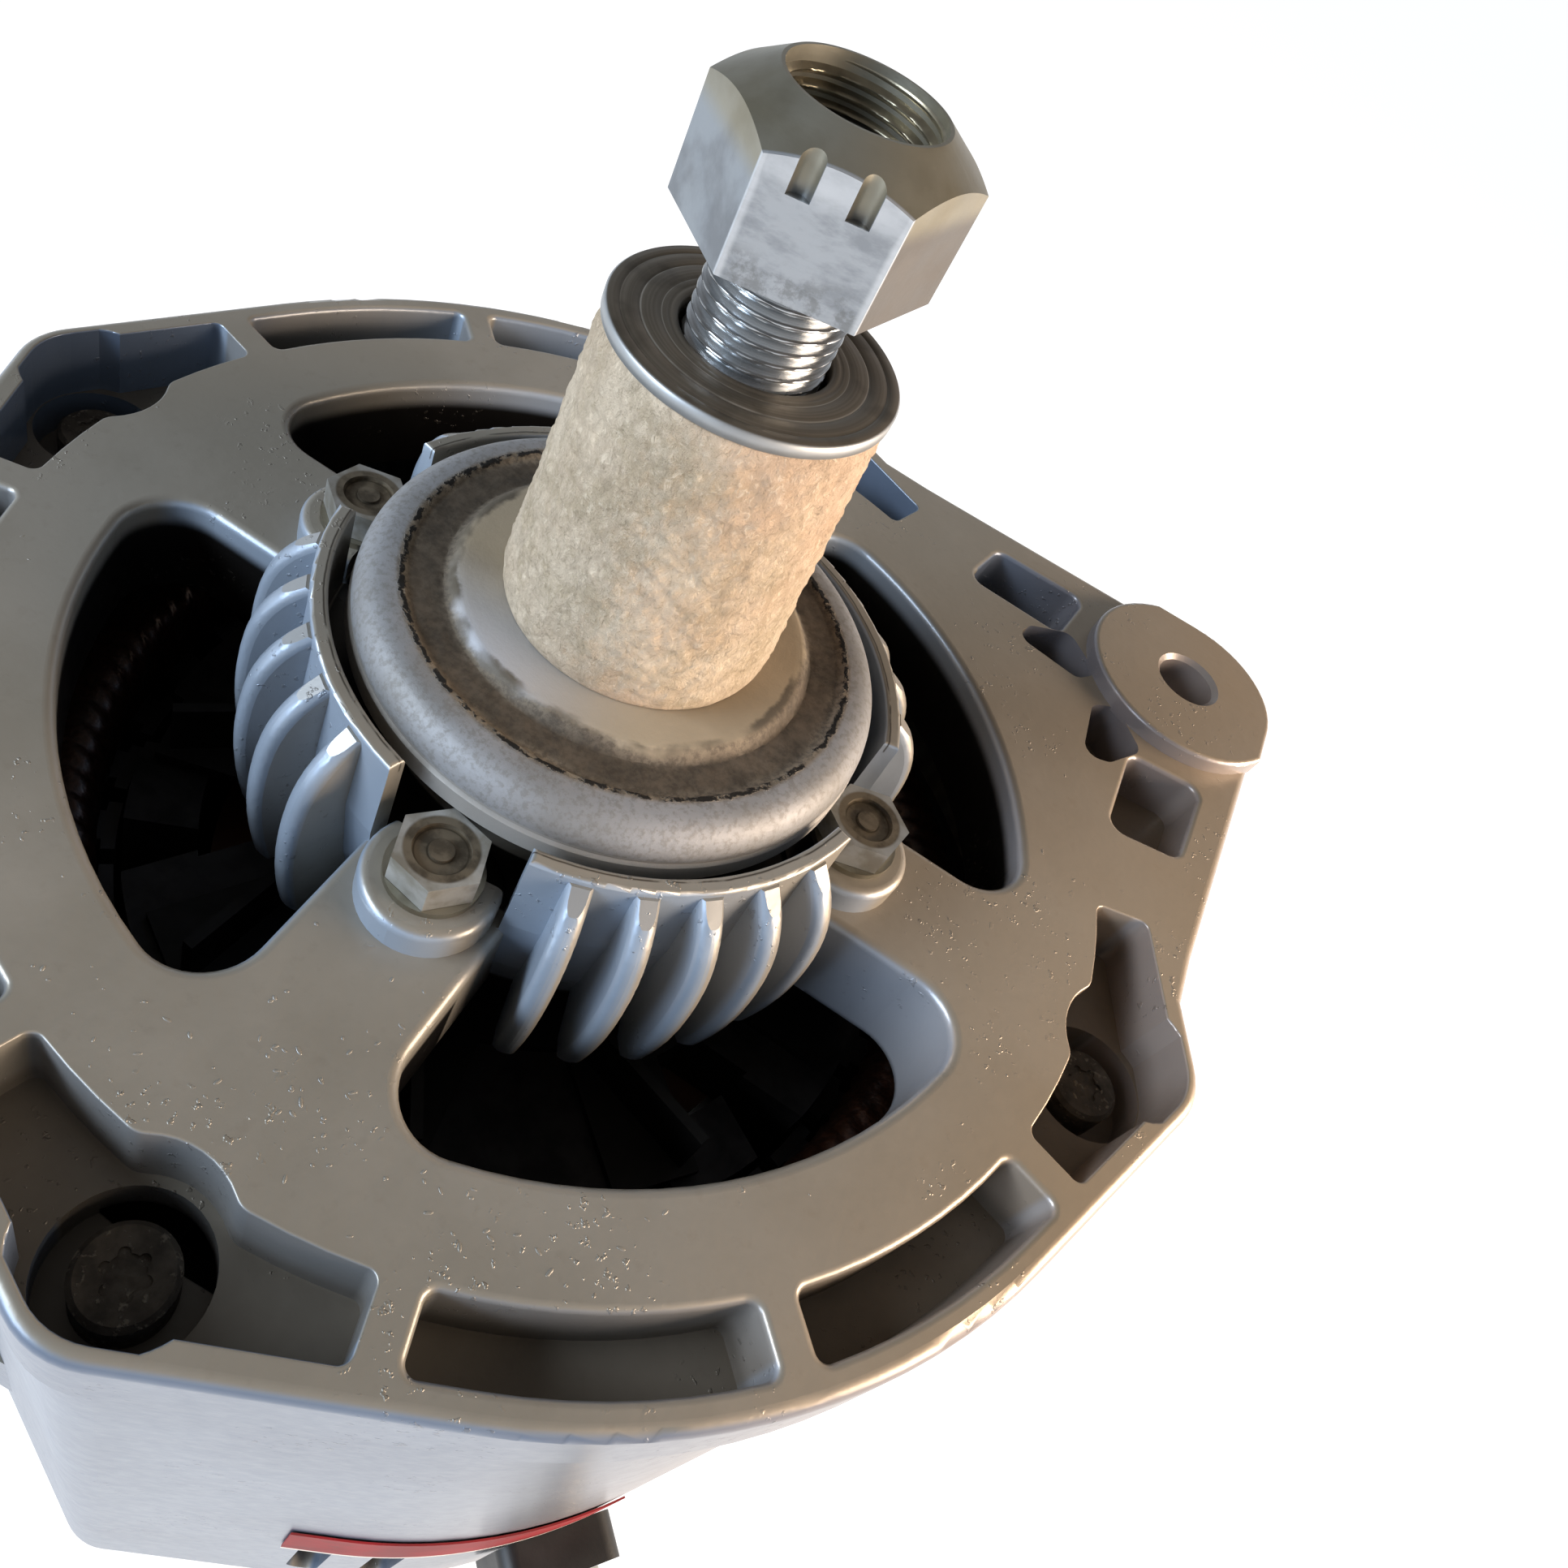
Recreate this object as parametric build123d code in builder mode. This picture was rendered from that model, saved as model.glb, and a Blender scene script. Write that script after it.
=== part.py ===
"""Heavy-duty claw-pole alternator, standing on its rear cover, shaft end up.

Millimetres. The shaft axis is Z, the resting face of the rear cover is Z 0.
"""

import math
import os

from build123d import *

# ---- driving dimensions ------------------------------------------------------
FACE_Z = 190.0  # front face of the drive-end frame
PARTING_Z = FACE_Z - 66.0  # joint between the two end frames
REAR_PLATE_Z = 44.0  # underside of the rear end frame's plate
REAR_PLATE_T = 10.0
COVER_T = 2.5

FLANGE_R = 90.0  # front band of the drive-end frame
FLANGE_T = 11.5
WALL_R = 88.2  # outside of both end frames below the band
CORNER_R = 11.0  # rounding of the four bolt corners
CORNER_D = 86.0  # radius at which the corner roundings are centred
PLATE_T = 16.0  # depth of the front plate and its spokes
CAVITY_R = 82.4
SEAT_R = 80.25  # register that grips the stator core

WINDOW_R = 66.5
WINDOW_IN_R = 35.0
SPOKE_HALF = 10.0
RIM_IN_R = 37.4
RIM_OUT_R = 39.6
RIM_H = 14.6
RIM_FLOOR = 1.0
LIP_R = 20.2
HUB_DEPTH = 19.2  # hub's lower end below the front face
HUB_WALL = ((39.9, FACE_Z + 2.0), (38.6, FACE_Z - 9.0), (36.0, FACE_Z - HUB_DEPTH))

POCKET_IN_R = 79.0
POCKET_DEPTH = 11.0
POCKET_WALL = 3.5
RIB_W = 4.8
BOLT_PCR = 86.4
COUNTERBORE_R = 8.5
BOLT_SEAT = 17.0

HUB_BOLT_R = 40.0
BOSS_R = 8.4
BOSS_H = 4.4
BOSS_RELIEF_R = 9.3
EDGE_ROUNDING = 1.4  # window edges on the front face
# Number of sides of a pocket's outline, and the rounding of its rim.
POCKET_ROUNDINGS = ((9, 0.9), (8, 0.9), (18, 0.3))

FIN_COUNT_PER_WINDOW = 5
FIN_PITCH = 11.25
FIN_T = 3.1
FIN_BACK = (
    (45.0, -18.6), (43.4, -20.4), (41.2, -19.6), (37.6, -13.0),
    (37.9, 13.4), (40.0, 13.7), (42.6, 11.6),
)
FIN_CREST = ((42.6, 11.6), (45.3, 6.8), (46.6, 0.0), (46.6, -9.0), (45.0, -18.6))

EAR_XY = 79.0
EAR_R = 16.5
EAR_PAD_R = 18.5
EAR_PAD_H = 3.0
EAR_HOLE_R = 5.25
EAR_POCKET_DEPTH = 9.0
EAR_POCKETS = (
    ((37.0, 74.5), (39.5, 86.5), (57.5, 87.5), (55.5, 74.5)),
    ((48.5, 66.8), (50.5, 71.5), (57.5, 76.0), (64.5, 69.5), (61.5, 65.5)),
)

LUG_XY = -79.0
LUG_R = 15.0
LUG_HOLE_R = 6.25
FRONT_LUG_Z = (FACE_Z - 34.0, FACE_Z - 16.0)
REAR_LUG_Z = (62.0, 82.0)
BUSHING_R = 9.0

STACK_Z = (100.0, 148.0)  # stator core, lower and upper face
STATOR_R = 80.2
STATOR_BORE_R = 60.5
SLOTS = 36
SLOT_W = 6.0

POLES = 6  # claws on each half
ROTOR_R = 59.6
CLAW_Z = (94.0, 154.0)
CLAW_DISC_T = 12.0
CORE_R = 25.0

PULLEY_SHAFT_R = 11.0
THREAD_R = 7.95
BEARING_SHAFT_R = 12.5
REAR_JOURNAL_R = 8.5
SHAFT_END = FACE_Z + 79.0
SEAT_END = FACE_Z + 54.0

FRONT_BEARING_Z = (FACE_Z - 19.0, FACE_Z - 2.0)
FRONT_BALLS = 7
FRONT_BALL_R = 5.7
FRONT_PITCH_R = 21.75
REAR_BEARING_Z = (42.0, 54.0)
REAR_BALLS = 8
REAR_BALL_R = 3.35
REAR_PITCH_R = 14.25

SLEEVE_Z = (FACE_Z + 19.6, FACE_Z + 57.8)
WASHER_Z = (FACE_Z + 57.95, FACE_Z + 59.7)
NUT_Z = (FACE_Z + 70.6, FACE_Z + 85.8)
NUT_AF = 24.0
NUT_TURN = 16.5
NOTCH_ANGLE = 286.5

SLIP_RING_R = 13.0
RING_Z = ((8.5, 15.5), (20.5, 27.5))
BRUSH_Y = 8.0
BRUSH_Z = 5.0
BRUSH_LEN = 14.0
BRUSH_GAP = 0.05
SPRING_END_X = 41.0

COVER_R = 84.0
COVER_SCREW_PCR = 70.0
COVER_SCREW_ANGLE = 30.0

DIODE_ANGLES = (80.0, 110.0, 152.0, 180.0, 208.0, 250.0, 280.0)
POSITIVE_Z = (18.0, 23.0)
NEGATIVE_Z = (34.0, 38.0)

TERMINAL_ANGLE = 317.0
TERMINAL_Z = 72.0
INSULATOR_SIDE = 20.0
STUD_R = 4.0
STUD_SHANK_R = 3.5  # inside the busbar, insulator, washer and nut
STUD_FREE = (104.2, 118.0)  # the stud's free threaded end, as radii
BUSBAR_R = 77.25
CONNECTOR_ANGLE = 35.0
LABEL_Z = (83.0, 98.5)
LABEL_ANGLES = (288.5, 321.5)
QUARTERS = (0.0, 90.0, 180.0, 270.0)


# ---- shared helpers ----------------------------------------------------------
def polar(radius, degrees):
    a = math.radians(degrees)
    return (radius * math.cos(a), radius * math.sin(a))


def radial_plane(degrees, z=0.0):
    """Plane through the shaft axis: local X outwards, local Y up."""
    a = math.radians(degrees)
    return Plane(
        origin=(0, 0, z), x_dir=(math.cos(a), math.sin(a), 0), z_dir=(math.sin(a), -math.cos(a), 0)
    )


def outward_plane(degrees, radius, z):
    """Plane facing outwards: local X tangential, local Y up."""
    a = math.radians(degrees)
    return Plane(
        origin=(radius * math.cos(a), radius * math.sin(a), z),
        x_dir=(-math.sin(a), math.cos(a), 0),
        z_dir=(math.cos(a), math.sin(a), 0),
    )


def draw_outline(inset):
    """Round body with four rounded corners over the through bolts."""
    big = FLANGE_R - inset
    small = CORNER_R - inset
    phi = math.degrees(math.acos((big - small) / CORNER_D))
    for k in QUARTERS:
        cx, cy = polar(CORNER_D, k)
        a = polar(small, k - phi)
        m = polar(small, k)
        b = polar(small, k + phi)
        start = (cx + a[0], cy + a[1])
        end = (cx + b[0], cy + b[1])
        ThreePointArc(start, (cx + m[0], cy + m[1]), end)
        on_big = polar(big, k + phi)
        next_big = polar(big, k + 90.0 - phi)
        Line(end, on_big)
        ThreePointArc(on_big, polar(big, k + 45.0), next_big)
        nx, ny = polar(CORNER_D, k + 90.0)
        c = polar(small, k + 90.0 - phi)
        Line(next_big, (nx + c[0], ny + c[1]))


def outline(inset):
    with BuildSketch() as shape:
        with BuildLine():
            draw_outline(inset)
        make_face()
    return shape.sketch


def ring(inner, outer, low, high):
    with BuildPart() as body:
        with BuildSketch(Plane.XY.offset(low)):
            Circle(outer)
            Circle(inner, mode=Mode.SUBTRACT)
        extrude(amount=high - low)
    return body.part


def lathe(points):
    with BuildPart() as body:
        with BuildSketch(Plane.XZ):
            with BuildLine():
                Polyline(*points, close=True)
            make_face()
        revolve(axis=Axis.Z)
    return body.part


def edges_at(part, z, low_r, high_r):
    """Edges lying in one horizontal plane whose centres are in a band of radii."""
    found = []
    for e in part.edges():
        box = e.bounding_box()
        if abs(box.min.Z - z) > 1e-3 or abs(box.max.Z - z) > 1e-3:
            continue
        c = e @ 0.5
        if low_r <= math.hypot(c.X, c.Y) <= high_r:
            found.append(e)
    return found


# ---- drive-end frame -----------------------------------------------------------
def draw_ear():
    Polygon((0, 0), (92.3, 0), (92.3, 22), (95.47, 78), (78, 95.47), (22, 92.3), (0, 92.3), align=None)
    with Locations((EAR_XY, EAR_XY)):
        Circle(EAR_R)


def draw_lug_arm(reach):
    near, far = LUG_XY + 10.6, LUG_XY - 10.6
    Polygon((0, 0), (-86, -20), (far, near), (near, far), (-20, -86), align=None)
    with Locations((LUG_XY, LUG_XY)):
        Circle(reach)
    Circle(CAVITY_R + 2.5, mode=Mode.SUBTRACT)


def draw_pockets():
    add(outline(POCKET_WALL))
    Circle(POCKET_IN_R, mode=Mode.SUBTRACT)
    with PolarLocations(BOLT_PCR, 4):
        Circle(9.7)
    add(outline(POCKET_WALL - 1.6), mode=Mode.INTERSECT)
    for k in QUARTERS:
        for a in (k + 16.8, k + 45.0, k + 73.2):
            with Locations(Location(polar(86.0, a), a)):
                Rectangle(40, RIB_W, mode=Mode.SUBTRACT)
    Polygon((0, 0), polar(140, 17.2), (140, 140), polar(140, 72.8), align=None, mode=Mode.SUBTRACT)


def beside_rib(vertex):
    turn = math.degrees(math.atan2(vertex.Y, vertex.X)) % 90
    return min(abs(turn - a) for a in (16.8, 45.0, 73.2)) < 2.6


def beside_bulge(vertex):
    """Where a pocket's inner wall meets the bulge round a through bolt."""
    turn = abs(math.degrees(math.atan2(vertex.Y, vertex.X)) + 45) % 90 - 45
    return abs(turn) < 9.0 and abs(math.hypot(vertex.X, vertex.Y) - POCKET_IN_R) < 0.2


def openings(part):
    """The outlines of the openings in the front face, each a list of edges."""
    front = part.faces().filter_by_position(Axis.Z, FACE_Z, FACE_Z).sort_by(SortBy.AREA)[-1]
    return [wire.edges() for wire in front.inner_wires()]


def is_pocket(edges):
    return min(math.hypot((e @ 0.5).X, (e @ 0.5).Y) for e in edges) > WINDOW_R + EDGE_ROUNDING


def pocket_edges(part, sides):
    """Edges of the pockets whose outlines have the given number of sides."""
    return [e for edges in openings(part) if len(edges) == sides and is_pocket(edges) for e in edges]


def frame_blank():
    """Band, wall, ear and hinge lug as one solid block."""
    with BuildPart() as blank:
        with BuildSketch(Plane.XY.offset(FACE_Z - FLANGE_T)):
            add(outline(0.0))
        extrude(amount=FLANGE_T)
        with BuildSketch(Plane.XY.offset(PARTING_Z)):
            add(outline(FLANGE_R - WALL_R))
        extrude(amount=FACE_Z - FLANGE_T - PARTING_Z)
        with BuildSketch(Plane.XY.offset(FACE_Z - PLATE_T)):
            draw_ear()
        extrude(amount=PLATE_T)
        with BuildSketch(Plane.XY.offset(FACE_Z - PLATE_T - 10.0)):
            Polygon((0, 0), (90.5, 30), (93, 60), (60, 93), (30, 90.5), align=None)
        extrude(amount=10.0, taper=-20)
        fillet(edges_at(blank.part, FACE_Z, 84.0, 130.0), 1.5)
        with BuildSketch(Plane.XY.offset(FRONT_LUG_Z[0])):
            draw_lug_arm(LUG_R)
        extrude(amount=FRONT_LUG_Z[1] - FRONT_LUG_Z[0])
    return blank.part


def cavity():
    """Room inside for the stator, its end turns and the fan."""
    roof = FACE_Z - PLATE_T
    with BuildPart() as room:
        with BuildSketch(Plane.XY.offset(PARTING_Z - 1.0)):
            Circle(SEAT_R)
        extrude(amount=STACK_Z[1] - PARTING_Z + 1.0)
        with BuildSketch(Plane.XY.offset(STACK_Z[1] - 4.0)):
            Circle(CAVITY_R - 4.4)
        extrude(amount=roof - STACK_Z[1] + 4.0)
        with BuildSketch(Plane.XY.offset(STACK_Z[1] + 5.0)):
            Circle(CAVITY_R)
        extrude(amount=roof - STACK_Z[1] - 5.0)
    return room.part


def window_prisms():
    """Four windows between hub, ring and spokes, corners rounded."""
    with BuildPart() as prisms:
        with BuildSketch(Plane.XY.offset(FACE_Z - PLATE_T - 1.0)) as windows:
            Circle(WINDOW_R)
            Circle(WINDOW_IN_R, mode=Mode.SUBTRACT)
            Rectangle(300, 2 * SPOKE_HALF, mode=Mode.SUBTRACT)
            Rectangle(2 * SPOKE_HALF, 300, mode=Mode.SUBTRACT)
            fillet([v for v in windows.vertices() if math.hypot(v.X, v.Y) > 55], radius=7.5)
            fillet([v for v in windows.vertices() if math.hypot(v.X, v.Y) < 45], radius=2.0)
        extrude(amount=PLATE_T + 2.0)
    return prisms.part


def pocket_prisms():
    with BuildPart() as prisms:
        with BuildSketch(Plane.XY.offset(FACE_Z - POCKET_DEPTH)) as pockets:
            draw_pockets()
            fillet([v for v in pockets.vertices() if beside_rib(v)], radius=1.4)
            fillet([v for v in pockets.vertices() if beside_bulge(v)], radius=3.0)
        extrude(amount=POCKET_DEPTH + 1.0)
        for flip in (False, True):
            for corners in EAR_POCKETS:
                pts = [(y, x) for x, y in corners] if flip else corners
                with BuildSketch(Plane.XY.offset(FACE_Z - EAR_POCKET_DEPTH)) as pocket:
                    Polygon(*pts, align=None)
                    fillet(pocket.vertices(), radius=2.4)
                extrude(amount=EAR_POCKET_DEPTH + 1.0)
    return prisms.part


def hub():
    """Bearing housing with the slinger recess, rim, fins and bolt bosses."""
    with BuildPart() as body:
        with BuildSketch(Plane.XZ):
            Polygon(
                (LIP_R, FACE_Z - 9.0),
                (LIP_R, FACE_Z + RIM_FLOOR),
                (RIM_IN_R, FACE_Z + RIM_FLOOR),
                (RIM_IN_R, FACE_Z + RIM_H),
                (RIM_OUT_R, FACE_Z + RIM_H),
                (RIM_OUT_R, FACE_Z + RIM_H - 3.0),
                *HUB_WALL,
                (LIP_R, FACE_Z - HUB_DEPTH),
                align=None,
            )
        revolve(axis=Axis.Z)
        for k in QUARTERS:
            for i in range(FIN_COUNT_PER_WINDOW):
                with BuildSketch(radial_plane(k + 45.0 + FIN_PITCH * (i - 2), FACE_Z)):
                    with BuildLine():
                        Polyline(*FIN_BACK)
                        Spline(*FIN_CREST)
                    make_face()
                extrude(amount=FIN_T / 2, both=True)
        fillet([e for e in body.edges() if is_fin_crest(e)], 1.3)
        with BuildSketch(Plane.XY.offset(FACE_Z - 0.01)):
            with PolarLocations(HUB_BOLT_R, 4):
                Circle(BOSS_RELIEF_R)
        extrude(amount=20, mode=Mode.SUBTRACT)
        fillet(edges_at(body.part, FACE_Z + RIM_H, RIM_IN_R - 2.0, RIM_OUT_R + 1.0), 0.5)
        with BuildSketch(Plane.XY.offset(FACE_Z - HUB_DEPTH)):
            with PolarLocations(HUB_BOLT_R, 4):
                Circle(BOSS_R)
        extrude(amount=HUB_DEPTH + BOSS_H)
        fillet(edges_at(body.part, FACE_Z + BOSS_H, 30.0, 50.0), 1.2)
        with BuildSketch(Plane.XY.offset(FACE_Z + RIM_FLOOR)):
            Circle(RIM_IN_R)
        extrude(amount=20, mode=Mode.SUBTRACT)
    return body.part


def is_fin_crest(edge):
    """The two long curved edges along a fin's outer side."""
    box = edge.bounding_box()
    mid = edge @ 0.5
    return box.max.Z - box.min.Z > 12.0 and math.hypot(mid.X, mid.Y) > FIN_CREST[0][0]


def ear_pad():
    with BuildPart() as pad:
        with BuildSketch(Plane.XY.offset(FACE_Z - 0.5)):
            with Locations((EAR_XY, EAR_XY)):
                Circle(EAR_PAD_R)
            Polygon((0, 0), (93, 22), (95.47, 78), (78, 95.47), (22, 93), align=None, mode=Mode.INTERSECT)
            with Locations((EAR_XY, EAR_XY)):
                Circle(EAR_R)
        extrude(amount=EAR_PAD_H + 0.5)
        fillet(edges_at(pad.part, FACE_Z + EAR_PAD_H, 80.0, 140.0), 0.8)
    return pad.part


def upright_holes(radius, centres, low, high):
    with BuildPart() as holes:
        with BuildSketch(Plane.XY.offset(low)):
            with Locations(*centres):
                Circle(radius)
        extrude(amount=high - low)
    return holes.part


def drive_end_frame():
    hub_bolt_places = [polar(HUB_BOLT_R, k) for k in QUARTERS]
    through_bolt_places = [polar(BOLT_PCR, k) for k in QUARTERS]
    with BuildPart() as frame:
        add(frame_blank())
        add(window_prisms(), mode=Mode.SUBTRACT)
        fillet([e for edges in openings(frame.part) for e in edges], EDGE_ROUNDING)
        add(pocket_prisms(), mode=Mode.SUBTRACT)
        for sides, rounding in POCKET_ROUNDINGS:
            fillet(pocket_edges(frame.part, sides), rounding)
        add(cavity(), mode=Mode.SUBTRACT)
        add(hub())
        add(upright_holes(31.02, [(0, 0)], FACE_Z - 30.0, FRONT_BEARING_Z[1]), mode=Mode.SUBTRACT)
        add(upright_holes(LIP_R, [(0, 0)], FACE_Z - 10.0, FACE_Z + 10.0), mode=Mode.SUBTRACT)
        add(upright_holes(3.3, hub_bolt_places, FACE_Z - 40.0, FACE_Z + 20.0), mode=Mode.SUBTRACT)
        counterbores = upright_holes(COUNTERBORE_R, through_bolt_places, FACE_Z - BOLT_SEAT, FACE_Z - 10.5)
        add(counterbores, mode=Mode.SUBTRACT)
        add(upright_holes(3.3, through_bolt_places, PARTING_Z - 1.0, FACE_Z - 10.0), mode=Mode.SUBTRACT)
        add(ear_pad())
        add(upright_holes(EAR_HOLE_R, [(EAR_XY, EAR_XY)], FACE_Z - 40.0, FACE_Z + 20.0), mode=Mode.SUBTRACT)
        chamfer(edges_at(frame.part, FACE_Z + EAR_PAD_H, 105.0, 120.0), 0.8)
        add(upright_holes(LUG_HOLE_R, [(LUG_XY, LUG_XY)], PARTING_Z, FACE_Z), mode=Mode.SUBTRACT)
    return frame.part


# ---- rear end frame ------------------------------------------------------------
def rear_end_frame():
    top = PARTING_Z
    with BuildPart() as frame:
        with BuildSketch(Plane.XY.offset(REAR_PLATE_Z)):
            add(outline(FLANGE_R - WALL_R))
        extrude(amount=top - REAR_PLATE_Z)
        with BuildSketch(Plane.XY.offset(REAR_LUG_Z[0])):
            draw_lug_arm(LUG_R)
        extrude(amount=REAR_LUG_Z[1] - REAR_LUG_Z[0])
        with BuildSketch(Plane.XY.offset(STACK_Z[0])):
            Circle(SEAT_R)
        extrude(amount=top - STACK_Z[0], mode=Mode.SUBTRACT)
        with BuildSketch(Plane.XY.offset(REAR_PLATE_Z + REAR_PLATE_T)):
            Circle(CAVITY_R - 4.4)
        extrude(amount=STACK_Z[0] - REAR_PLATE_Z - REAR_PLATE_T, mode=Mode.SUBTRACT)
        with BuildSketch(Plane.XY.offset(REAR_PLATE_Z + REAR_PLATE_T)):
            Circle(CAVITY_R)
        extrude(amount=STACK_Z[0] - REAR_PLATE_Z - REAR_PLATE_T - 5.0, mode=Mode.SUBTRACT)
        # rear plate windows between eight spokes
        with BuildSketch(Plane.XY.offset(REAR_PLATE_Z)) as windows:
            Circle(60.0)
            Circle(28.0, mode=Mode.SUBTRACT)
            for k in range(4):
                with Locations(Location((0, 0), 22.5 + 45.0 * k)):
                    Rectangle(200, 9, mode=Mode.SUBTRACT)
            fillet([v for v in windows.vertices()], radius=2.0)
        extrude(amount=REAR_PLATE_T + 1, mode=Mode.SUBTRACT)
        # air outlet slots in the wall
        for k in QUARTERS:
            for i in range(7):
                a = k + 45.0 + 7.6 * (i - 3)
                if abs(a - TERMINAL_ANGLE) < 13.0 or abs(a - 225.0) < 18.0 or abs(a - CONNECTOR_ANGLE) < 10.0:
                    continue
                with BuildSketch(outward_plane(a, 76.0, 68.5)):
                    SlotOverall(24, 5.2, rotation=90)
                extrude(amount=20, mode=Mode.SUBTRACT)
        # rear bearing hub
        with BuildSketch(Plane.XY.offset(REAR_PLATE_Z - 3.0)):
            Circle(27.0)
        extrude(amount=17.0)
        with BuildSketch(Plane.XY.offset(REAR_BEARING_Z[0])):
            Circle(20.02)
        extrude(amount=30, mode=Mode.SUBTRACT)
        with BuildSketch(Plane.XY.offset(REAR_PLATE_Z - 10)):
            Circle(14.0)
        extrude(amount=30, mode=Mode.SUBTRACT)
        # threaded bosses for the through bolts, cover screws, busbar slot
        with BuildSketch(Plane.XY.offset(60.0)):
            with PolarLocations(BOLT_PCR, 4):
                Circle(3.03)
        extrude(amount=80, mode=Mode.SUBTRACT)
        with BuildSketch(Plane.XY.offset(REAR_PLATE_Z)):
            with PolarLocations(COVER_SCREW_PCR, 4, start_angle=COVER_SCREW_ANGLE):
                Circle(2.55)
        extrude(amount=8.5, mode=Mode.SUBTRACT)
        with BuildSketch(Plane.XY.offset(REAR_PLATE_Z)):
            with Locations(Location(polar(BUSBAR_R + 0.8, TERMINAL_ANGLE), TERMINAL_ANGLE)):
                Rectangle(5.0, 12.0)
        extrude(amount=REAR_PLATE_T + 1, mode=Mode.SUBTRACT)
        with BuildSketch(outward_plane(TERMINAL_ANGLE, 70.0, TERMINAL_Z)):
            Circle(6.1)
        extrude(amount=30, mode=Mode.SUBTRACT)
        with BuildSketch(Plane.XY.offset(REAR_LUG_Z[0] - 1)):
            with Locations((LUG_XY, LUG_XY)):
                Circle(BUSHING_R + 0.02)
        extrude(amount=40, mode=Mode.SUBTRACT)
        chamfer(edges_at(frame.part, REAR_PLATE_Z, 84.0, 99.0), 2.5)
    return frame.part


def pivot_bushing():
    with BuildPart() as bush:
        with BuildSketch(Plane.XY.offset(REAR_LUG_Z[0] + 1.0)):
            with Locations((LUG_XY, LUG_XY)):
                Circle(BUSHING_R)
                Circle(LUG_HOLE_R, mode=Mode.SUBTRACT)
        extrude(amount=REAR_LUG_Z[1] - REAR_LUG_Z[0] + 1.0)
    return bush.part


def rear_cover():
    high = REAR_PLATE_Z - 0.05
    with BuildPart() as cover:
        with BuildSketch(Plane.XY):
            Circle(COVER_R)
        extrude(amount=high)
        fillet(edges_at(cover.part, 0.0, COVER_R - 1.0, COVER_R + 1.0), 6.0)
        with BuildSketch(Plane.XY.offset(COVER_T)):
            Circle(COVER_R - COVER_T)
        extrude(amount=high, mode=Mode.SUBTRACT)
        with BuildSketch(Plane.XY.offset(COVER_T)):
            with PolarLocations(COVER_SCREW_PCR, 4, start_angle=COVER_SCREW_ANGLE):
                Circle(7.0)
        extrude(amount=high - COVER_T)
        with BuildSketch(Plane.XY.offset(-1)):
            with PolarLocations(COVER_SCREW_PCR, 4, start_angle=COVER_SCREW_ANGLE):
                Circle(5.2)
        extrude(amount=7.0, mode=Mode.SUBTRACT)
        with BuildSketch(Plane.XY.offset(-1)):
            with PolarLocations(COVER_SCREW_PCR, 4, start_angle=COVER_SCREW_ANGLE):
                Circle(2.8)
        extrude(amount=60.0, mode=Mode.SUBTRACT)
        # intake slots: radial ones in the floor, upright ones in the wall
        with BuildSketch(Plane.XY.offset(-1)):
            for i in range(24):
                a = 15.0 * i + 7.5
                with Locations(Location(polar(52.0, a), a)):
                    SlotOverall(26, 4.2)
        extrude(amount=COVER_T + 2, mode=Mode.SUBTRACT)
        for i in range(24):
            with BuildSketch(outward_plane(15.0 * i + 7.5, COVER_R - 6.0, 24.0)):
                SlotOverall(22, 5.0, rotation=90)
            extrude(amount=12, mode=Mode.SUBTRACT)
    return cover.part


# ---- fasteners -----------------------------------------------------------------
def through_bolts():
    seat = FACE_Z - BOLT_SEAT
    with BuildPart() as bolts:
        with BuildSketch(Plane.XY.offset(61.0)):
            with PolarLocations(BOLT_PCR, 4):
                Circle(3.0)
        extrude(amount=seat - 61.0)
        with BuildSketch(Plane.XY.offset(seat)):
            with PolarLocations(BOLT_PCR, 4):
                Circle(5.3)
        extrude(amount=6.0)
        chamfer(edges_at(bolts.part, seat + 6.0, 70.0, 99.0), 0.6)
        with BuildSketch(Plane.XY.offset(seat + 3.0)):
            for k in QUARTERS:
                x, y = polar(BOLT_PCR, k)
                with Locations((x, y)):
                    Circle(2.0)
                for i in range(6):
                    u, v = polar(2.05, 60.0 * i + 15.0)
                    with Locations((x + u, y + v)):
                        Circle(0.62)
        extrude(amount=4.0, mode=Mode.SUBTRACT)
    return bolts.part


def hub_bolts():
    low = FACE_Z + BOSS_H + 1.0
    with BuildPart() as bolts:
        with BuildSketch(Plane.XY.offset(FACE_Z - 23.2)):
            with PolarLocations(HUB_BOLT_R, 4):
                Circle(3.0)
        extrude(amount=low - FACE_Z + 23.2)
        with BuildSketch(Plane.XY.offset(low)):
            with PolarLocations(HUB_BOLT_R, 4):
                RegularPolygon(5.0, 6, major_radius=False, rotation=20)
        extrude(amount=4.2)
        with BuildSketch(Plane.XY.offset(low + 3.6)):
            with PolarLocations(HUB_BOLT_R, 4):
                Circle(3.4)
        extrude(amount=2.0, mode=Mode.SUBTRACT)
        with BuildSketch(Plane.XY.offset(low + 3.5)):
            with PolarLocations(HUB_BOLT_R, 4):
                Circle(1.5)
        extrude(amount=0.5)
    return bolts.part


def hub_bolt_washers():
    with BuildPart() as washers:
        with BuildSketch(Plane.XY.offset(FACE_Z + BOSS_H)):
            with PolarLocations(HUB_BOLT_R, 4):
                Circle(5.9)
                Circle(3.15, mode=Mode.SUBTRACT)
        extrude(amount=0.95)
    return washers.part


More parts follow.
